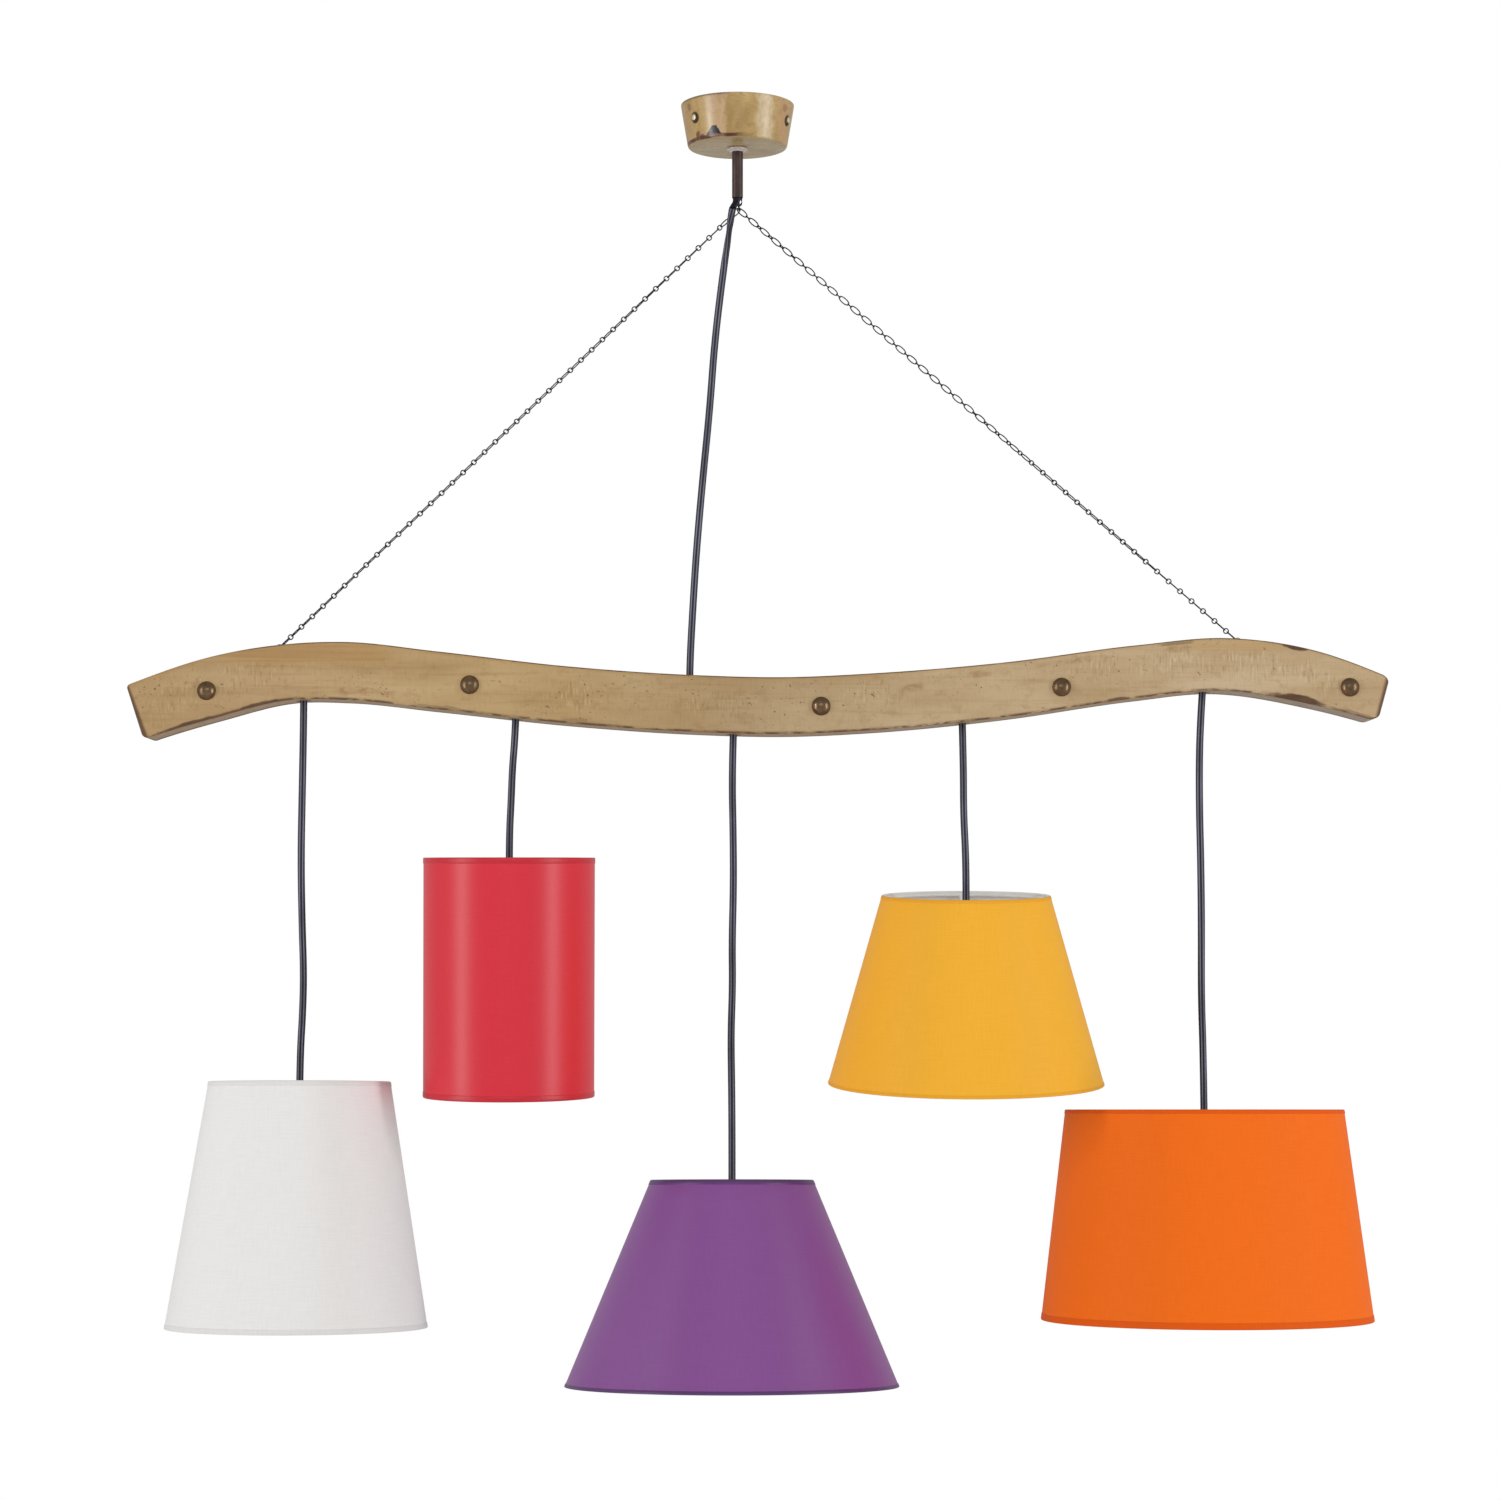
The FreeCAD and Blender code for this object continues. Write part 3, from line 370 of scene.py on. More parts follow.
def flexLook():
    # black, with a painted highlight in grey along the crown of each lobe, standing in for the side lights'
    # reflection; u runs across the flex from its groove
    look = Look("flexLook", roughness=0.4, Specular_IOR_Level=0.35)
    spots = look.noise(look.coords((1, 1, 0.4)), 160, 2)
    base = look.ramp(spots, (0.3, rgb(12, 12, 22)), (0.7, rgb(24, 24, 40)))
    across = look.parts(look.uv())[0]
    fromCrown = look.calc("ABSOLUTE", look.calc("SUBTRACT", look.calc("ABSOLUTE", across), 0.43))
    patchy = look.step(look.noise(look.coords(), 22, 2), 0.3, 0.7, 0.55, 1.0)
    # painted highlight: a grey stripe along each lobe's crown
    paintedHighlight = look.times(look.step(fromCrown, 0.24, 0.06), patchy, 0.85)
    look.colour(look.mix(paintedHighlight, base, rgb(136, 136, 156)))
    look.rough(look.step(look.noise(look.coords(), 45, 2), 0.35, 0.7, 0.34, 0.46))
    look.bump(look.noise(look.coords((1, 1, 0.15)), 900, 3), 0.1, mm(0.1))
    return look.material


def routePoints(name, points):
    # the smooth line of a route, read from its NURBS spline
    curve = bpy.data.curves.new(name + "Route", "CURVE")
    curve.dimensions = "3D"
    curve.resolution_u = 8
    spline = curve.splines.new("NURBS")
    spline.points.add(len(points) - 1)
    for point, place in zip(spline.points, points):
        point.co = (*place, 1)
    spline.order_u = 3
    spline.use_endpoint_u = True
    holder = bpy.data.objects.new(name + "Route", curve)
    mesh = bpy.data.meshes.new_from_object(holder)
    path = [vertex.co.copy() for vertex in mesh.vertices]
    bpy.data.objects.remove(holder)
    bpy.data.meshes.remove(mesh)
    return path


def lobedSection(width, thickness, lobe):
    # two round lobes with a shallow groove between them
    centre = width / 2 - lobe
    places = []
    for side in (1, -1):
        reach = 118
        for step in range(11):
            angle = math.radians(-reach + step * 2 * reach / 10)
            places.append((side * (centre + lobe * math.cos(angle)),
                           side * lobe * math.sin(angle) * thickness / (2 * lobe)))
    return places


def tableValue(table, share, eased=True):
    # the value at a share of the length, read between the table's rows
    for (low, first), (high, last) in zip(table, table[1:]):
        if share <= high:
            part = (share - low) / (high - low)
            if eased:
                part = part * part * (3 - 2 * part)
            return first + (last - first) * part
    return table[-1][1]


def flatFlex(name, path, twist):
    section = lobedSection(mm(flexes["width"]), mm(flexes["thickness"]), mm(flexes["lobe"]))
    vertices = []
    total = sum((b - a).length for a, b in zip(path, path[1:]))
    gone = 0
    for number, point in enumerate(path):
        before = path[max(0, number - 1)]
        after = path[min(len(path) - 1, number + 1)]
        along = (after - before).normalized()
        wide = Vector((1, 0, 0))
        wide = (wide - along * wide.dot(along)).normalized()
        if number:
            gone += (point - path[number - 1]).length
        wide = Matrix.Rotation(math.radians(tableValue(twist, gone / total)), 3, along) @ wide
        thick = along.cross(wide)
        vertices += [point + wide * u + thick * v for u, v in section]
    count = len(section)
    faces = []
    for ring in range(len(path) - 1):
        for n in range(count):
            a, b = ring * count + n, ring * count + (n + 1) % count
            faces.append((a, b, b + count, a + count))
    faces.append(tuple(range(count))[::-1])
    faces.append(tuple(range(len(vertices) - count, len(vertices))))
    mesh = bpy.data.meshes.new(name)
    mesh.from_pydata([tuple(v) for v in vertices], [], faces)
    layer = mesh.uv_layers.new(name="across")
    for loop in mesh.loops:
        ring, n = divmod(loop.vertex_index, count)
        layer.data[loop.index].uv = (section[n][0] * 2 / mm(flexes["width"]), ring)
    piece = bpy.data.objects.new(name, mesh)
    scene.collection.objects.link(piece)
    only(piece)
    editAll()
    doneEditing()
    smooth(piece, 60)
    return piece


blackPlastic = flexLook()
for name, points in flexes["routes"].items():
    path = routePoints(name, points)
    piece = flatFlex(name + "_flex_sheath", path, flexes["twists"][name])
    body = "frame" if name == "main" else name + "_pendant"
    wear(piece, blackPlastic, body, name + "_flex")
print("flexes are made")


# chains

chains = {  # millimetres; wire spaces the links, thick is the radius that is drawn
    "wire": 0.5, "thick": 0.56, "halfWidth": 2.1, "short": 3.4, "gap": 0.1, "segments": 12, "wireSegments": 5,
    "endReach": 2.6, "startWire": 0.95, "endWire": 0.75,
    "sides": {
        "left_chain": {
            "start": (0.0012, 0.0017, -0.09264), "end": (-0.39884, 0.0, -0.47916), "count": 85,
            "rolls": [(0.0, 2.0), (0.05, 84.0), (0.3, 102.0), (1.0, 95.0)],
        },
        "right_chain": {
            "start": (0.0012, 0.0033, -0.09264), "end": (0.43594, 0.0, -0.47345), "count": 87,
            "rolls": [(0.0, 2.0), (0.04, 36.0), (0.14, 10.0), (0.46, 4.0), (0.6, -56.0), (0.8, -64.0),
                      (0.87, -82.0), (1.0, -85.0)],
        },
    },
}


def chainLink(innerLength):
    # a ring drawn out to a narrow oval along X
    wire, halfWidth = mm(chains["wire"]), mm(chains["halfWidth"])
    halfLength = mm(innerLength / 2) + wire
    clearSelection()
    bpy.ops.mesh.primitive_torus_add(major_radius=halfWidth, minor_radius=mm(chains["thick"]),
                                     major_segments=chains["segments"],
                                     minor_segments=chains["wireSegments"], location=(0, 0, 0))
    link = named("chain_link")
    for vertex in link.data.vertices:
        x, y, z = vertex.co
        angle = math.atan2(y, x)
        outward = Vector((halfWidth * math.cos(angle), halfLength * math.sin(angle), 0)).normalized()
        place = Vector((halfLength * math.cos(angle), halfWidth * math.sin(angle), z))
        vertex.co = place + outward * (math.hypot(x, y) - halfWidth)
    link.data.polygons.foreach_set("use_smooth", [True] * len(link.data.polygons))
    return link


def chain(name, side):
    start, eye = Vector(side["start"]), Vector(side["end"])
    end = eye - (eye - start).normalized() * mm(chains["endReach"])
    along = (end - start).normalized()
    distance = (end - start).length * 1000
    count = side["count"]
    pairs = (count + 1) // 2
    allInner = distance + (count + 1) * chains["gap"] + chains["startWire"] + chains["endWire"]
    lengths = [(allInner - (pairs - 1) * chains["short"]) / pairs, chains["short"]]
    links = [chainLink(inner) for inner in lengths]
    level = Vector((0, 1, 0))
    level = (level - along * level.dot(along)).normalized()
    sideways = along.cross(level)
    copies = []
    reach = -chains["startWire"] - chains["gap"]
    for number in range(count):
        kind = number % 2
        place = start + along * mm(reach + lengths[kind] / 2)
        reach += lengths[kind] - chains["gap"]
        roll = math.radians(tableValue(side["rolls"], number / count, eased=False) + kind * 90)
        up = level * math.cos(roll) + sideways * math.sin(roll)
        third = along.cross(up)
        # the link lies in the plane of along and third, up stands on it
        turn = Matrix((along, third, -up)).transposed().to_4x4()
        turn.translation = place
        copy = links[kind].copy()
        copy.data = links[kind].data.copy()
        copy.data.transform(turn)
        scene.collection.objects.link(copy)
        copies.append(copy)
    for link in links:
        bpy.data.objects.remove(link)
    return joined(copies, name)


def chainLook(name, dark, light, roughness, darkZone):
    # darker towards the stem
    look = Look(name, roughness=roughness, metallic=0.45)
    place = look.coords()
    patches = look.noise(place, 160, 3)
    base = look.ramp(patches, (0.35, dark), (0.65, light))
    z = look.parts(place)[2]
    look.colour(look.mix(look.step(z, mm(darkZone[1]), mm(darkZone[0]), 0, 0.9), base, rgb(10, 10, 20)))
    look.bump(look.noise(look.coords(), 2500, 2), 0.2, mm(0.05))
    return look.material


chainLooks = {
    "left_chain": chainLook("greyChainLook", rgb(26, 26, 34), rgb(70, 70, 78), 0.5, (-95, -103)),
    "right_chain": chainLook("darkChainLook", rgb(16, 18, 30), rgb(44, 46, 60), 0.5, (-190, -360)),
}
for name, side in chains["sides"].items():
    wear(chain(name + "_links", side), chainLooks[name], "frame", name)
print("chains are made")


# wood

beamWear = {
    "height": 49,  # of the beam in the marks' own measure, millimetres
    "tones": [  # share of the length, tint
        (0.0, (0.87, 0.83, 0.70, 1)), (0.1, (0.85, 0.80, 0.68, 1)), (0.3, (0.92, 0.88, 0.71, 1)),
        (0.48, (0.77, 0.74, 0.64, 1)), (0.68, (0.95, 0.97, 0.96, 1)), (0.88, (0.96, 0.98, 1.0, 1)),
        (1.0, (0.96, 0.98, 0.98, 1)),
    ],
    "bands": [(-0.375, 0.09, -494.4), (0.431, 0.066, -483.7)],  # centre and half length in metres, low Z
    "scorches": [  # X, share of the height, half length, half height, strength
        (482.0, 0.03, 25, 5.2, 1.0), (482.0, 0.985, 14, 3.4, 1.0), (328.0, 0.0, 11, 3.2, 0.85),
        (-410.0, 0.0, 30, 3.4, 0.95), (-468.0, 0.0, 36, 2.6, 0.95), (-255.0, 0.02, 27, 3.0, 0.4),
        (-138.0, 0.03, 16, 3.4, 0.35), (-40.0, 0.0, 40, 1.4, 0.5), (90.0, 0.0, 45, 1.4, 0.5),
        (205.0, 0.0, 30, 1.4, 0.45), (380.0, 0.95, 15, 2.2, 0.5), (330.0, 1.0, 12, 1.4, 0.8),
        (540.0, 0.03, 20, 2.0, 0.45),
    ],
    "smears": [(287.0, 0.87, 31, 3.6), (209.0, 0.84, 10, 3.4), (-325.0, 0.16, 36, 3.6), (150.0, 0.7, 16, 4.0),
               (380.0, 0.84, 14, 3.4)],
    "sawnPatches": [(375.0, 0.6, 38, 15), (310.0, 0.7, 26, 12), (120.0, 0.62, 26, 12), (-420.0, 0.55, 40, 15),
                    (-130.0, 0.5, 34, 13), (-20.0, 0.5, 30, 12), (500.0, 0.5, 26, 13), (-484.0, 0.5, 26, 17),
                    (440.0, 0.5, 42, 16)],
}


def beamLook(name, tone=1.0):
    # the grain runs straight through the curved plank. In the UV map u runs along the beam and v from its
    # lower to its upper edge, for the marks that follow the edges
    look = Look(name, roughness=0.5, Specular_IOR_Level=0.4)
    place = look.coords()
    x, y, z = look.parts(place)
    u, v = look.parts(look.uv())[:2]
    height = mm(beamWear["height"])
    straight = look.add("CombineXYZ", X=u, Y=look.times(v, height), Z=y).outputs["Vector"]

    def spot(centre, share, halfLength, halfHeight, ragged):
        # a soft oval about a place on the beam, with a ragged rim
        size = (mm(halfLength), mm(halfHeight), 1)
        p, q = look.centred(straight, (mm(centre), share * height, 0), size)[:2]
        reach = look.calc("SQRT", look.calc("ADD", look.times(p, p), look.times(q, q)))
        return look.calc("ADD", reach, ragged)

    broad = look.grain(place, (9, 14, 40), 3)
    streaks = look.grain(place, (14, 120, 330), 5, 0.62, 0.6)
    mottle = look.grain(place, (70, 40, 110), 4, 0.6, 0.4)
    look.base = look.ramp(broad, (0.28, rgb(178, 147, 106)), (0.5, rgb(190, 161, 122)),
                          (0.72, rgb(200, 174, 138)))
    look.paint(look.step(streaks, 0.5, 0.7, 0, 0.28), rgb(158, 124, 84))
    look.paint(look.step(mottle, 0.52, 0.66, 0, 0.3), rgb(164, 130, 88))
    # saw strokes across the grain: short, uneven and in patches
    saw = look.grain(place, (560, 40, 95), 3, 0.55, 0.25)
    drift = look.sway(look.grain(place, (60, 1, 90), 3), 1.9)
    sawn = look.widest(*[look.step(spot(*patch, drift), 1.25, 0.5) for patch in beamWear["sawnPatches"]])
    pale = look.times(look.step(saw, 0.54, 0.68), look.step(sawn, 0, 1, 0.12, 0.5))
    deep = look.times(look.step(saw, 0.46, 0.33), look.step(sawn, 0, 1, 0.12, 0.45))
    look.paint(pale, rgb(212, 190, 152))
    look.paint(deep, rgb(146, 114, 78))
    # smoother, browner bands on the two crests, with a level lower limit
    bandNoise = look.grain(place, (8, 60, 560), 4, 0.6)
    bandColour = look.ramp(bandNoise, (0.35, rgb(176, 138, 88)), (0.62, rgb(192, 156, 106)))
    level = look.calc("ADD", z, look.sway(mottle, 0.006))
    bands = []
    for centre, half, low in beamWear["bands"]:
        near = look.step(look.calc("ABSOLUTE", look.calc("SUBTRACT", x, centre)), half, half - 0.035)
        bands.append(look.times(near, look.step(level, mm(low - 1.0), mm(low + 1.0))))
    bands.append(look.step(v, 0.93, 0.955, 0, 0.7))
    look.paint(look.times(look.widest(*bands), 0.7), bandColour)
    smears = look.widest(*[look.step(spot(*smear, drift), 1.2, 0.3) for smear in beamWear["smears"]])
    look.paint(look.times(smears, look.step(mottle, 0.4, 0.6, 0.15, 0.6)), rgb(152, 112, 66))
    # darker towards the middle of the beam
    share = look.times(look.calc("ADD", x, mm(-beamShape["left"])), 1 / mm(beamShape["length"]))
    look.paint(1.0, look.ramp(share, *beamWear["tones"]), "MULTIPLY")
    # pits and small cracks
    pits = look.grain(place, (300, 60, 380), 2, 0.5)
    patch = look.step(look.grain(place, (20, 20, 40), 2), 0.47, 0.6)
    look.paint(look.times(look.step(pits, 0.67, 0.74), patch, 0.85), rgb(92, 64, 40))
    # sawn underside and top, greyer than the front
    edgeNoise = look.grain(straight, (60, 160, 40), 4, 0.6)
    front = look.step(y, -0.0196, -0.0216)
    sides = look.times(look.widest(look.step(v, 0.016, 0.006), look.step(v, 0.984, 0.994)),
                       look.calc("SUBTRACT", 1.0, front), 0.85)
    greyer = look.step(x, 0.40, 0.45)
    brownSide = look.mix(edgeNoise, rgb(150, 122, 86), rgb(176, 146, 106))
    greySide = look.mix(edgeNoise, rgb(132, 114, 96), rgb(174, 154, 132))
    look.paint(sides, look.mix(greyer, brownSide, greySide))
    rear = look.times(look.step(y, 0.012, 0.016), look.step(v, 0.016, 0.006),
                      look.calc("SUBTRACT", 1.0, look.times(greyer, 0.6)), 0.8)
    # dark worn arrises and scorches
    arris = look.step(y, -0.0172, -0.0206)
    low = look.times(look.step(v, 0.056, 0.014), look.step(edgeNoise, 0.4, 0.56, 0.12, 0.92))
    high = look.times(look.step(v, 0.968, 0.99), look.step(edgeNoise, 0.3, 0.5, 0.5, 0.95),
                      look.step(x, -0.44, -0.41, 0.25, 1.0))
    leftEnd = look.step(look.calc("ADD", u, look.times(v, 0.0175)), -0.5074, -0.5102)
    rightEnd = look.step(look.calc("SUBTRACT", u, look.times(v, 0.0105)), 0.5492, 0.5525)
    ends = look.times(look.widest(leftEnd, rightEnd), 0.9)
    ragged = look.sway(edgeNoise, 1.6)
    scorched = [look.times(look.step(spot(*burn, ragged), 1.05, 0.6), strength)
                for *burn, strength in beamWear["scorches"]]
    edges = look.times(look.widest(low, high, *scorched), arris)
    dark = look.mix(look.grain(straight, (90, 240, 40), 3), rgb(52, 32, 20), rgb(112, 76, 46))
    look.paint(look.widest(edges, ends, rear), dark)
    if tone != 1.0:
        look.paint(1.0, (tone, tone, tone, 1), "MULTIPLY")
    look.colour(look.base)
    look.rough(look.step(streaks, 0.3, 0.7, 0.42, 0.6))
    bumps = look.calc("ADD", look.times(saw, 0.5, look.step(sawn, 0, 1, 0.25, 1.0)),
                      look.times(look.step(pits, 0.74, 0.62), 0.8))
    look.bump(look.calc("ADD", bumps, look.times(broad, 1.2)), 0.3, mm(0.5))
    return look.material


beamShape = {
    "left": -528.3, "length": 1092.5, "trough": -506.8, "height": 49.1, "wave": 33.9,
    "top": [(0.0, -0.21), (0.069, 0.54), (0.125, 0.84), (0.174, 0.90), (0.243, 0.67), (0.348, 0.28),
            (0.452, 0.05), (0.522, 0.00), (0.592, 0.10), (0.696, 0.38), (0.801, 0.82), (0.871, 1.00),
            (0.940, 0.69), (1.0, -0.01)],
    "bottom": [(0.0175, -0.10), (0.070, 0.41), (0.130, 0.87), (0.174, 0.87), (0.244, 0.64), (0.348, 0.28),
               (0.452, 0.05), (0.522, 0.00), (0.592, 0.10), (0.696, 0.43), (0.801, 0.92), (0.862, 1.11),
               (0.940, 0.74), (0.986, 0.36)],
    "lowLeft": -513.0, "lowRight": 553.6, "front": -23.0, "split": 13.0, "back": 23.0, "edge": 1.2,
    "columns": 280, "endColumns": 10, "endLength": 16.0, "rows": 20, "endRows": 6, "endHeight": 9.0,
    "corners": {"topLeft": 3.0, "topRight": 6.5, "lowLeft": 5.0, "lowRight": 8.5},
}


def waveHeight(table, base, x):
    # a smooth curve through the table's places
    share = (x - beamShape["left"]) / beamShape["length"]
    places = [p for p, _ in table]
    values = [v for _, v in table]
    last = len(places) - 1
    n = 0
    while n < last - 1 and share > places[n + 1]:
        n += 1

    def slope(i):
        if i == 0:
            return (values[1] - values[0]) / (places[1] - places[0]) * 1.15
        if i == last:
            return (values[last] - values[last - 1]) / (places[last] - places[last - 1]) * 1.15
        first, second = places[i] - places[i - 1], places[i + 1] - places[i]
        rise = (values[i] - values[i - 1]) / first
        fall = (values[i + 1] - values[i]) / second
        return (rise * second + fall * first) / (first + second)

    width = places[n + 1] - places[n]
    t = (share - places[n]) / width
    value = ((2 * t ** 3 - 3 * t ** 2 + 1) * values[n] + (t ** 3 - 2 * t ** 2 + t) * width * slope(n)
             + (-2 * t ** 3 + 3 * t ** 2) * values[n + 1] + (t ** 3 - t ** 2) * width * slope(n + 1))
    return base + value * beamShape["wave"]


def topHeight(x):
    return waveHeight(beamShape["top"], beamShape["trough"], x)


def bottomHeight(x):
    return waveHeight(beamShape["bottom"], beamShape["trough"] - beamShape["height"], x)


def closerAtEnds(share, length, endShare, endLength):
    # even steps in the middle and closer ones at both ends
    if share < endShare:
        return share / endShare * endLength
    if share > 1 - endShare:
        return length - (1 - share) / endShare * endLength
    return endLength + (share - endShare) / (1 - 2 * endShare) * (length - 2 * endLength)


def roundedIn(fromEnd, fromEdge, radius):
    # square corner to round corner, all grid lines kept
    if fromEnd >= radius or fromEdge >= radius:
        return fromEnd, fromEdge
    a, b = 1 - fromEnd / radius, 1 - fromEdge / radius
    return radius * (1 - a * math.sqrt(1 - b * b / 2)), radius * (1 - b * math.sqrt(1 - a * a / 2))


def beamSlab(name, front, back):
    # a grid laid along the wave and pushed out to the board's depth
    columns, rows = beamShape["columns"], beamShape["rows"]
    clearSelection()
    bpy.ops.mesh.primitive_grid_add(x_subdivisions=columns, y_subdivisions=rows, size=1)
    piece = named(name)
    left, length, height = beamShape["left"], beamShape["length"], beamShape["height"]
    endShare, edgeShare = beamShape["endColumns"] / columns, beamShape["endRows"] / rows
    for vertex in piece.data.vertices:
        along = closerAtEnds(vertex.co.x + 0.5, length, endShare, beamShape["endLength"])
        rise = closerAtEnds(vertex.co.y + 0.5, height, edgeShare, beamShape["endHeight"])
        side = "Left" if along < length / 2 else "Right"
        edge = "low" if rise < height / 2 else "top"
        fromEnd, fromEdge = roundedIn(min(along, length - along), min(rise, height - rise),
                                      beamShape["corners"][edge + side])
        along = fromEnd if side == "Left" else length - fromEnd
        rise = fromEdge if edge == "low" else height - fromEdge
        u, v = along / length, rise / height
        lowX = beamShape["lowLeft"] + u * (beamShape["lowRight"] - beamShape["lowLeft"])
        highX = left + u * length
        x = lowX + (highX - lowX) * v
        low, high = bottomHeight(lowX), topHeight(highX)
        vertex.co = (mm(x), mm(front), mm(low + (high - low) * v))
    only(piece)
    editAll()
    bpy.ops.mesh.extrude_region_move(TRANSFORM_OT_translate={"value": (0, mm(back - front), 0)})
    doneEditing()
    return piece


def cutWith(piece, cutter):
    useModifier(piece, "BOOLEAN", operation="DIFFERENCE", solver="EXACT", object=cutter)
    bpy.data.objects.remove(cutter)


def rod(radius, low, high, secondRadius=None):
    clearSelection()
    middle = (Vector(low) + Vector(high)) / 2
    along = Vector(high) - Vector(low)
    bpy.ops.mesh.primitive_cone_add(vertices=32, radius1=mm(radius), radius2=mm(secondRadius or radius),
                                    depth=mm(along.length), location=[mm(c) for c in middle],
                                    rotation=along.to_track_quat("Z", "Y").to_euler())
    return settle(named("cutter"))


def straightenUv(piece):
    # u is the place along the beam in metres, v runs from the lower edge to the upper edge
    layer = piece.data.uv_layers[0]
    for loop in piece.data.loops:
        place = piece.data.vertices[loop.vertex_index].co
        x, z = place.x * 1000, place.z * 1000
        low, high = bottomHeight(x), topHeight(x)
        layer.data[loop.index].uv = (place.x, min(1.0, max(0.0, (z - low) / (high - low))))


beamHoles = {  # millimetres
    # X, radius and depth for the two screw eyes and the main flex
    "top": [(-398.84, 5.0, 4), (435.94, 5.0, 4), (-41.7, 4.5, 19)], "above": 20,
    "flexes": [-377.5, -192.8, -3.4, 195.6, 405.2],  # X of the pendants' flexes in the lower edge
    "flexRadius": 5.0, "flexDepth": 8, "mouth": 6.6, "flare": 0.212, "below": 3,
}

beamWood = beamLook("beamWoodLook")
boardWood = beamLook("boardWoodLook", 0.93)

beam = beamSlab("beam_front_wood", beamShape["front"], beamShape["split"])
board = beamSlab("beam_back_wood", beamShape["split"], beamShape["back"])
for piece in (beam, board):
    useModifier(piece, "BEVEL", width=mm(beamShape["edge"]), segments=3, limit_method="ANGLE",
                angle_limit=math.radians(40), profile=0.6, use_clamp_overlap=False)
for x, radius, depth in beamHoles["top"]:
    top = topHeight(x)
    cutWith(beam, rod(radius, (x, 0, top - depth), (x, 0, top + beamHoles["above"])))
below = beamHoles["below"]
mouth = beamHoles["mouth"] + beamHoles["flare"] * below
for x in beamHoles["flexes"]:
    low = bottomHeight(x)
    top = low + beamHoles["flexDepth"]
    cutWith(beam, rod(mouth, (x, 0, low - below), (x, 0, top), beamHoles["flexRadius"]))
for piece, material, node, slot in (
    (beam, beamWood, "beam", "pale_wood"), (board, boardWood, "beam_back_board", "board_wood"),
):
    straightenUv(piece)
    smooth(piece, 30)
    wear(piece, material, "frame", node)
print("beam is made")


rose = {
    "profile": [(39, -0.5), (46, -0.5), (48.9, -0.5), (49.6, -0.8), (49.75, -1.6), (49.5, -3.0), (48.5, -9),
                (47.3, -16), (46.1, -23), (44.9, -30), (44.0, -35.6), (43.5, -37.2), (42.8, -38.1),
                (41.4, -38.5), (30, -38.5), (12, -38.5), (5.1, -38.5), (5.1, -30.5), (20, -30.5),
                (39, -30.5)],
    "knot": (-20.3, -39.9, -31.7), "knotSize": (4.4, 20, 3.8),
    "stains": [  # centre, radius, strength
        ((-34.6, -28.0, -33.2), 3.4, 0.85), ((-31.2, -32.0, -36.2), 3.6, 0.85),
        ((-41.5, -24.0, -7.5), 4.5, 0.45), ((41.0, -24.0, -8.5), 4.5, 0.4), ((3.0, -48.0, -2.2), 2.6, 0.4),
    ],
    "screws": [(-36.5, -28.5, -18.2), (42.9, -17.3, -18.2)], "screwShadowRadius": 5.6,
    # upright bands painted in: pale ones as painted reflections of the side lights, the others a tone shift
    # near the sides
    "bands": [  # from X, to X, colour, strength
        (-25, -10, rgb(198, 164, 130), 0.85), (17, 31, rgb(206, 184, 144), 0.85),
        (35, 45, rgb(188, 146, 110), 0.6), (-50, -40, rgb(164, 128, 86), 0.5),
    ],
}


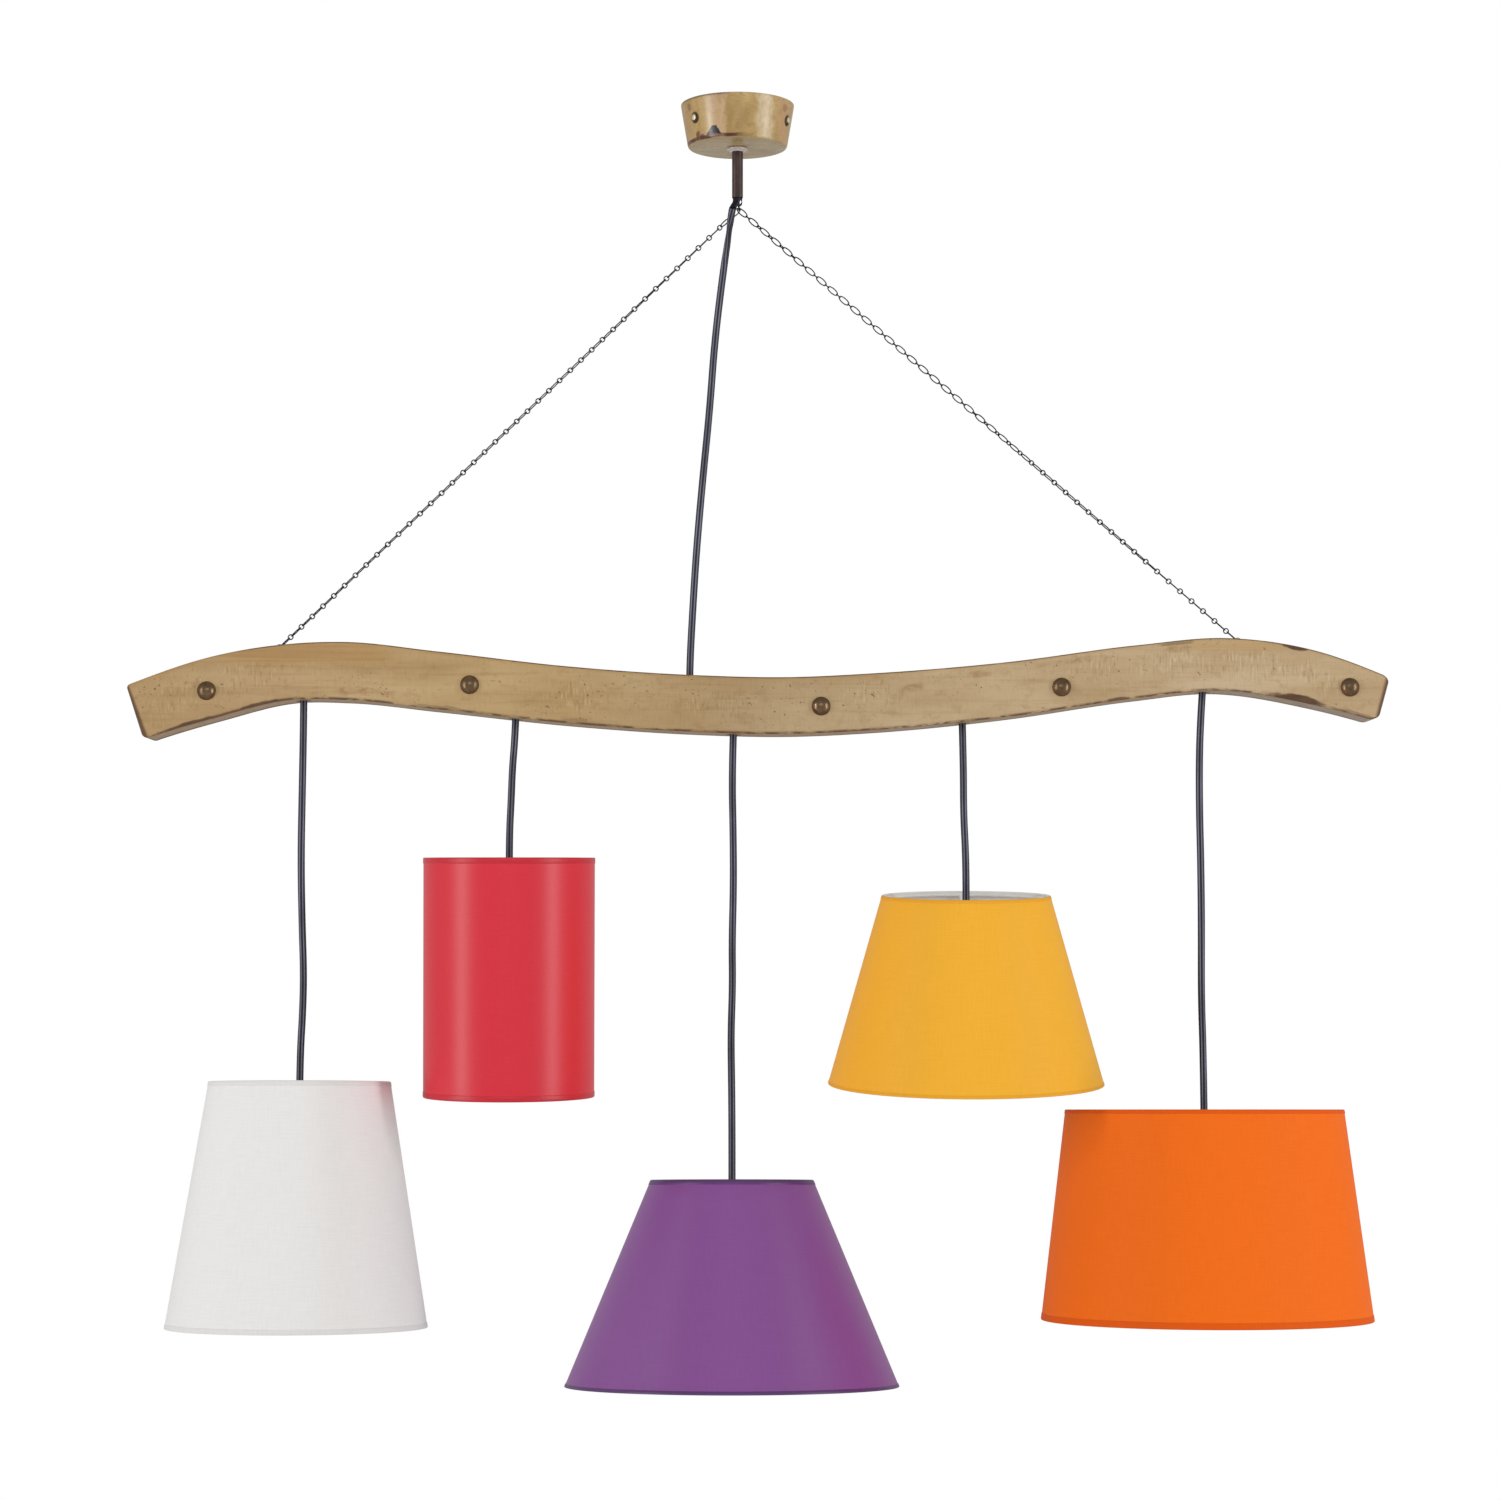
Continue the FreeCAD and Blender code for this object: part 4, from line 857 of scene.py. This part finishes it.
def roseLook():
    look = Look("roseWoodLook", roughness=0.3, Specular_IOR_Level=0.5, Coat_Weight=0.12, Coat_Roughness=0.2)
    place = look.coords()
    x, y, z = look.parts(place)
    broad = look.grain(place, (40, 40, 16), 4, 0.55, 0.4)
    grain = look.grain(place, (150, 150, 520), 4, 0.6, 0.3)
    look.base = look.ramp(broad, (0.3, rgb(156, 124, 70)), (0.5, rgb(180, 149, 92)),
                          (0.7, rgb(200, 174, 118)))
    look.paint(look.step(grain, 0.46, 0.7, 0, 0.4), rgb(146, 112, 68))
    cloudy = look.grain(place, (90, 90, 130), 5, 0.6, 1.2)
    look.paint(look.step(cloudy, 0.54, 0.7, 0, 0.55), rgb(146, 108, 70))
    # upright bands painted in: the pale ones are painted reflections of the side lights in the polish, the
    # others shift the tone near the sides
    along = look.calc("ADD", x, look.sway(look.grain(place, (60, 60, 90), 3), 0.012))
    mottle = look.grain(place, (170, 170, 110), 4, 0.6, 0.8)
    front = look.step(y, 0.0, -0.012)
    for low, high, colour, strength in rose["bands"]:
        band = look.times(look.step(along, mm(low - 2.5), mm(low + 2.5)),
                          look.step(along, mm(high + 2.5), mm(high - 2.5)), front,
                          look.step(mottle, 0.36, 0.6, strength * 0.45, strength))
        look.paint(band, colour)
    # dark knot low on the left of the front, broad below and drawn to a point above
    side, deep, rise = look.centred(place, [mm(c) for c in rose["knot"]], [mm(c) for c in rose["knotSize"]])
    slim = look.calc("ADD", look.calc("ABSOLUTE", side), look.times(rise, 0.55))
    inside = look.widest(slim, look.calc("ABSOLUTE", rise), look.calc("ABSOLUTE", deep))
    ragged = look.calc("ADD", inside, look.sway(mottle, 0.9))
    look.paint(look.step(ragged, 1.08, 0.88), rgb(26, 20, 28))
    # brown stains, and a painted shadow round the side screws
    for centre, radius, strength in rose["stains"]:
        reach = look.calc("ADD", look.awayFrom(place, centre), look.sway(mottle, mm(7)))
        look.paint(look.step(reach, mm(radius), mm(radius * 0.6), 0, strength), rgb(104, 58, 38))
    for centre in rose["screws"]:
        away = look.awayFrom(place, centre)
        # painted shadow: a dark ring on the wood round each screw head
        rim = look.step(away, mm(rose["screwShadowRadius"]), mm(rose["screwShadowRadius"] - 0.8), 0, 0.9)
        look.paint(rim, rgb(58, 46, 26))
    # thin stain line along the lower front rim, and a shorter one along the upper
    rimNoise = look.grain(place, (130, 130, 60), 3)
    level = look.calc("ADD", z, look.sway(rimNoise, 0.0016))
    line = look.times(look.step(level, -0.0346, -0.0356), look.step(level, -0.0386, -0.0374), front,
                      look.step(x, 0.016, -0.006), look.step(rimNoise, 0.34, 0.56, 0.75, 1.0))
    look.paint(line, rgb(78, 36, 24))
    upper = look.times(look.step(z, -0.0032, -0.0012), look.step(x, -0.004, -0.014), front, 0.75)
    look.paint(upper, rgb(92, 66, 46))
    specks = look.step(look.grain(place, (420, 420, 200), 2), 0.7, 0.76)
    look.paint(look.times(specks, 0.6), rgb(104, 74, 48))
    # straight streaky grain on the underside
    under = look.step(z, -0.0378, -0.0384)
    streak = look.grain(place, (40, 420, 40), 4, 0.6)
    look.paint(look.times(under, 0.8),
               look.ramp(streak, (0.35, rgb(148, 126, 84)), (0.65, rgb(186, 164, 116))))
    look.colour(look.base)
    look.bump(look.calc("ADD", grain, look.times(broad, 0.8)), 0.2, mm(0.3))
    look.rough(look.step(broad, 0.3, 0.7, 0.38, 0.24))
    return look.material


piece = turnedPiece("rose_wood", rose["profile"] + rose["profile"][:1], steps=96)
smooth(piece, 45)
wear(piece, roseLook(), "rose", "ceiling_rose")
print("rose is made")


# metal, plastic and small pieces

def metalLook(name, dark, light, roughness, metallic=1.0, scale=120):
    look = Look(name, roughness=roughness, metallic=metallic)
    patches = look.noise(look.coords(), scale, 4, 0.6)
    look.colour(look.ramp(patches, (0.3, dark), (0.7, light)))
    look.rough(look.step(patches, 0.3, 0.7, roughness + 0.12, roughness - 0.06))
    look.bump(look.noise(look.coords(), 1800, 2), 0.15, mm(0.05))
    return look.material


def tubeLook():
    # brown paint, worn to bare metal along the mouth
    look = Look("tubeLook", roughness=0.42, metallic=0.5)
    place = look.coords()
    z = look.parts(place)[2]
    patches = look.grain(place, (300, 300, 90), 4)
    base = look.ramp(patches, (0.3, rgb(46, 34, 34)), (0.7, rgb(82, 62, 58)))
    mouth = look.times(look.step(z, -0.0795, -0.0805), look.step(z, -0.0835, -0.0825),
                       look.step(patches, 0.5, 0.66, 0, 0.7))
    base = look.mix(mouth, base, rgb(124, 106, 96))
    look.colour(look.mix(look.step(z, -0.0825, -0.084), base, rgb(30, 22, 24)))
    look.bump(patches, 0.3, mm(0.2))
    return look.material


def plasticLook(name, colour, roughness=0.35, **sockets):
    look = Look(name, roughness=roughness, **sockets)
    tint = look.noise(look.coords(), 70, 2)
    darker = tuple(c * 0.9 for c in colour[:3]) + (1,)
    look.colour(look.ramp(tint, (0.3, darker), (0.7, colour)))
    look.bump(look.noise(look.coords(), 900, 2), 0.06, mm(0.1))
    return look.material


bronze = metalLook("bronzeLook", rgb(90, 70, 49), rgb(128, 104, 77), 0.27, 0.8)
darkBronze = metalLook("darkBronzeLook", rgb(64, 50, 28), rgb(92, 74, 46), 0.4, 0.7)
# painted highlight for the side screws' crowns
brassHighlight = metalLook("screwHighlightLook", rgb(206, 194, 158), rgb(232, 222, 192), 0.34, 0.55)
zinc = metalLook("zincLook", rgb(150, 150, 146), rgb(186, 186, 182), 0.35)
brownMetal = tubeLook()
darkSteel = metalLook("darkSteelLook", rgb(26, 22, 26), rgb(54, 46, 48), 0.5, 0.4)
whitePlastic = plasticLook("whitePlasticLook", rgb(236, 236, 230))
wireCoat = plasticLook("wireCoatLook", rgb(238, 238, 234), 0.45)
clearPlastic = plasticLook("washerLook", rgb(226, 212, 206), 0.22, Transmission_Weight=0.3)
opalGlass = plasticLook("opalGlassLook", rgb(246, 245, 240), 0.16, Coat_Weight=0.4, Coat_Roughness=0.08)
capMetal = metalLook("capMetalLook", rgb(170, 168, 160), rgb(206, 204, 198), 0.3)


def studOutline(stud):
    # pointed shank, flat seat and domed head
    shank, reach, radius, height = (stud[key] for key in ("shankRadius", "reach", "radius", "height"))
    outline = [(0, -reach), (shank, -reach + stud["point"]), (shank, 0.02), (radius - stud["lip"], 0.02)]
    ball = (radius ** 2 + height ** 2) / (2 * height)
    steps = 8
    for n in range(steps):
        angle = math.asin(radius / ball) * (1 - n / steps)
        outline.append((ball * math.sin(angle), ball * math.cos(angle) - ball + height))
    return outline + [(0, height)]


nails = {
    "radius": 8.2, "height": 5.0, "shankRadius": 1.1, "reach": 13.0, "point": 1.5, "lip": 0.3,
    "places": [(-0.45871, -0.023, -0.51867), (-0.23136, -0.023, -0.51345), (0.07247, -0.023, -0.53201),
               (0.28037, -0.023, -0.51553), (0.52957, -0.023, -0.51566)],
}
heads = [turnedPiece("nail_%d" % number, studOutline(nails), place, 40, (0, -1, 0))
         for number, place in enumerate(nails["places"])]
piece = joined(heads, "beam_dome_nails")
smooth(piece, 50)
wear(piece, bronze, "frame", "dome_nails")

sideScrews = {
    "angles": (218.0, 338.0, 98.0), "level": -18.2, "seat": 46.28, "radius": 4.6, "height": 2.7,
    "shankRadius": 1.75, "reach": 14.5, "point": 0.8, "lip": 0.2, "crown": 0.55,
}
heads = []
for number, angle in enumerate(sideScrews["angles"]):
    outward = Vector((math.cos(math.radians(angle)), math.sin(math.radians(angle)), 0))
    place = outward * mm(sideScrews["seat"]) + Vector((0, 0, mm(sideScrews["level"])))
    head = turnedPiece("side_screw_%d" % number, studOutline(sideScrews), place, 28, outward)
    finishes(head, darkBronze, brassHighlight)  # painted highlight: the brass on the crown stands in for its reflection
    # painted highlight: the crown faces of each head get the brass
    for face in head.data.polygons:
        fromSeat = face.center - place
        paintedHighlight = fromSeat.cross(outward).length < mm(sideScrews["radius"] * sideScrews["crown"])
        face.material_index = 1 if fromSeat.dot(outward) > 0 and paintedHighlight else 0
    heads.append(head)
piece = joined(heads, "rose_screws")
smooth(piece, 50)
belongs(piece, "rose_side_screws", "rose")

washer = [(4.9, -38.8), (8.6, -38.8), (9.0, -39.2), (9.0, -40.3), (8.6, -40.8), (6.6, -40.9), (6.2, -41.3),
          (6.0, -41.9), (5.6, -42.0), (4.9, -42.0)]
piece = turnedPiece("washer_plastic", washer + washer[:1], steps=48)
smooth(piece, 40)
wear(piece, clearPlastic, "rose", "stem_washer")
print("fittings are made")


# shades and bulbs

shades = {  # millimetres and degrees; each leans at its flex's end, and fold is how far its hems stand out
    "white": {"x": -379.0, "top": -856.0, "topRadius": 78.2, "height": 210.8, "bottomRadius": 112.3,
              "lean": -2.8, "shift": 4.641, "hemTop": 4.5, "hemBottom": 4.5, "fold": 0.35},
    "red": {"x": -197.8, "top": -662.3, "topRadius": 74.2, "height": 206.9, "bottomRadius": 73.9,
            "lean": 1.5, "shift": -2.487, "hemTop": 5.2, "hemBottom": 5.2, "fold": 0.35},
    "purple": {"x": -4.6, "top": -940.8, "topRadius": 70.3, "height": 176.1, "bottomRadius": 143.7,
               "lean": -4.0, "shift": 6.627, "hemTop": 4.3, "hemBottom": 3.2, "fold": 0.4},
    "yellow": {"x": 198.0, "top": -695.1, "topRadius": 72.9, "height": 163.3, "bottomRadius": 119.4,
               "lean": 4.2, "shift": -6.958, "hemTop": 3.0, "hemBottom": 3.0, "fold": 0.3},
    "orange": {"x": 404.0, "top": -880.1, "topRadius": 119.7, "height": 180.1, "bottomRadius": 142.1,
               "lean": -2.5, "shift": 4.144, "hemTop": 3.6, "hemBottom": 5.8, "fold": 0.35},
}
pendant = {"flexEnd": 6.05, "bulbTop": 37.75}  # millimetres below a shade's top
fabrics = {  # cloth, hem, roughness, how strongly it shines
    "white": (rgb(235, 233, 231), rgb(226, 224, 221), 0.5, 0.2),
    "red": (rgb(216, 42, 58), rgb(200, 34, 50), 0.36, 0.38),
    "purple": (rgb(131, 72, 144), rgb(84, 46, 102), 0.4, 0.5),
    "yellow": (rgb(246, 179, 50), rgb(236, 168, 42), 0.5, 0.14),
    "orange": (rgb(246, 111, 22), rgb(228, 92, 12), 0.6, 0.1),
}


def clothLook(name, cloth, roughness, shine, hem=False):
    look = Look(name, roughness=roughness, Specular_IOR_Level=shine)
    uv = look.uv()
    u, v = look.parts(uv)[:2]
    warp = look.calc("SINE", look.times(u, math.tau * 1700))
    weft = look.calc("SINE", look.times(v, math.tau * 1700))
    slubs = look.grain(uv, (60, 900, 1), 3, 0.6)
    threads = look.grain(uv, (900, 60, 1), 3, 0.6)
    both = look.calc("ADD", look.times(slubs, 0.5), look.times(threads, 0.5))
    darker = tuple(c * 0.97 for c in cloth[:3]) + (1,)
    lighter = tuple(min(1.0, c * 1.02 + 0.002) for c in cloth[:3]) + (1,)
    look.colour(look.ramp(both, (0.38, darker), (0.5, cloth), (0.62, lighter)))
    look.bump(look.calc("ADD", look.times(warp, weft, 0.35), both), 0.22 if hem else 0.12, mm(0.12))
    return look.material


def liningLook():
    look = Look("liningLook", roughness=0.45)
    tint = look.noise(look.coords(), 30, 2)
    look.colour(look.ramp(tint, (0.3, rgb(238, 237, 233)), (0.7, rgb(246, 245, 242))))
    look.bump(look.noise(look.coords(), 1200, 2), 0.05, mm(0.1))
    return look.material


lining = liningLook()


def hang(piece, name, size, node):
    # leant and moved forward with its pendant, about the end of the flex
    pivot = Vector((mm(size["x"]), 0, mm(size["top"] - pendant["flexEnd"])))
    turn = Matrix.Rotation(math.radians(size["lean"]), 4, "X")
    move = Matrix.Translation(pivot + Vector((0, mm(size["shift"]), 0)))
    smooth(piece, 50)
    piece.data.transform(move @ turn @ Matrix.Translation(-pivot))
    belongs(piece, name + node, name + "_pendant")


def shade(name, size):
    # outline from the top inside, over the rolled hem, down the outside and back up the inside
    height, fold, hemTop = size["height"], size["fold"], size["hemTop"]
    low = height - size["hemBottom"]
    slope = (size["bottomRadius"] - size["topRadius"]) / height

    def at(drop, out=0.0):
        return size["topRadius"] + slope * drop + out

    rows = [(at(0, -1.0), -0.4), (at(0, -0.75), -0.05), (at(0, -0.35), 0.0),
            (at(0, fold * 0.4 - 0.05), -0.25), (at(0.9, fold), -0.9), (at(hemTop - 0.4, fold), -hemTop + 0.4),
            (at(hemTop, fold * 0.5), -hemTop + 0.05), (at(hemTop, -0.02), -hemTop - 0.1)]
    bands = 14
    first, last = hemTop + 0.4, low - 0.4
    for n in range(bands + 1):
        drop = first + (last - first) * n / bands
        rows.append((at(drop), -drop))
    rows += [(at(low, -0.02), -low + 0.1), (at(low, fold * 0.5), -low - 0.05),
             (at(low + 0.4, fold), -low - 0.4), (at(height - 0.9, fold), -height + 0.9),
             (at(height, fold * 0.4 - 0.05), -height + 0.25), (at(height, -0.35), -height),
             (at(height, -0.75), -height + 0.05), (at(height, -1.0), -height + 0.4),
             (at(low, -1.0), -low), (at(height / 2, -1.0), -height / 2), (at(hemTop, -1.0), -hemTop)]
    x, top = mm(size["x"]), mm(size["top"])
    piece = turnedPiece(name + "_shade_fabric", rows + rows[:1], (x, 0, top), 128)
    mesh = piece.data
    cloth, hemColour, roughness, shine = fabrics[name]
    finishes(piece, clothLook(name + "ClothLook", cloth, roughness, shine),
             clothLook(name + "HemLook", hemColour, roughness, shine, True), lining)
    layer = mesh.uv_layers.new(name="cloth")
    for face in mesh.polygons:
        centre = face.center
        drop = (top - centre.z) * 1000
        inside = math.hypot(centre.x - x, centre.y) * 1000 < at(drop, -0.8)
        hem = drop < hemTop or drop > low
        face.material_index = 2 if inside else (1 if hem else 0)
        middle = math.atan2(centre.y, centre.x - x)
        for index in face.loop_indices:
            place = mesh.vertices[mesh.loops[index].vertex_index].co
            turn = math.remainder(math.atan2(place.y, place.x - x) - middle, math.tau)
            layer.data[index].uv = ((middle + turn) * mm(size["topRadius"]), place.z - top)
    hang(piece, name, size, "_shade")


bulb = {"capLength": 24.1, "threads": 5, "pitch": 3.3, "globeRadius": 30.0, "length": 108.0}


def bulbOutline():
    # screw cap with its thread, neck and round globe
    rows = [(0, 0), (3.0, 0), (3.4, -0.6), (8.0, -2.2), (11.6, -3.2), (12.4, -4.4)]
    for turn in range(bulb["threads"]):
        level = -5.2 - turn * bulb["pitch"]
        rows += [(12.5, level), (13.2, level - 0.9), (13.2, level - 1.5), (12.5, level - 2.5)]
    rows += [(12.9, -22.5), (13.2, -24.0), (13.9, -24.2), (14.2, -30.0), (15.4, -38.0), (18.0, -46.5)]
    radius = bulb["globeRadius"]
    centre = radius - bulb["length"]
    for n in range(16):
        angle = math.radians(47 - 137 * n / 16)
        rows.append((radius * math.cos(angle), centre + radius * math.sin(angle)))
    return rows + [(0, centre - radius)]


for name, size in shades.items():
    shade(name, size)
    top = size["top"] - pendant["bulbTop"]
    piece = turnedPiece(name + "_bulb_glass", bulbOutline(), (mm(size["x"]), 0, mm(top)), 48)
    finishes(piece, opalGlass, capMetal)
    for face in piece.data.polygons:
        face.material_index = 1 if face.center.z > mm(top - bulb["capLength"]) else 0
    hang(piece, name, size, "_bulb")
print("shades and bulbs are made")


# finishes of the CAD nodes that stay

nodeLooks = {
    "ceiling_bracket": zinc, "stem_tube": brownMetal, "stem_locknut": zinc,
    "rose_terminal_block": whitePlastic,
    "stem_lead": blackPlastic, "hook_ring": darkSteel, "chain_screw_eyes": zinc, "back_board_screws": zinc,
    "beam_terminal_block": whitePlastic, "channel_leads": blackPlastic,
}
pendantLooks = {
    "_knot": blackPlastic, "_holder_cap": whitePlastic, "_holder_body": whitePlastic,
    "_shade_ring": whitePlastic, "_shade_frame": wireCoat,
}
for name in shades:
    for part, material in pendantLooks.items():
        nodeLooks[name + part] = material
for node, material in nodeLooks.items():
    mesh = cadNodes[node].data
    if not mesh.materials:
        mesh.materials.append(material)
    for index in range(len(mesh.materials)):
        mesh.materials[index] = material
print("finishes are on")
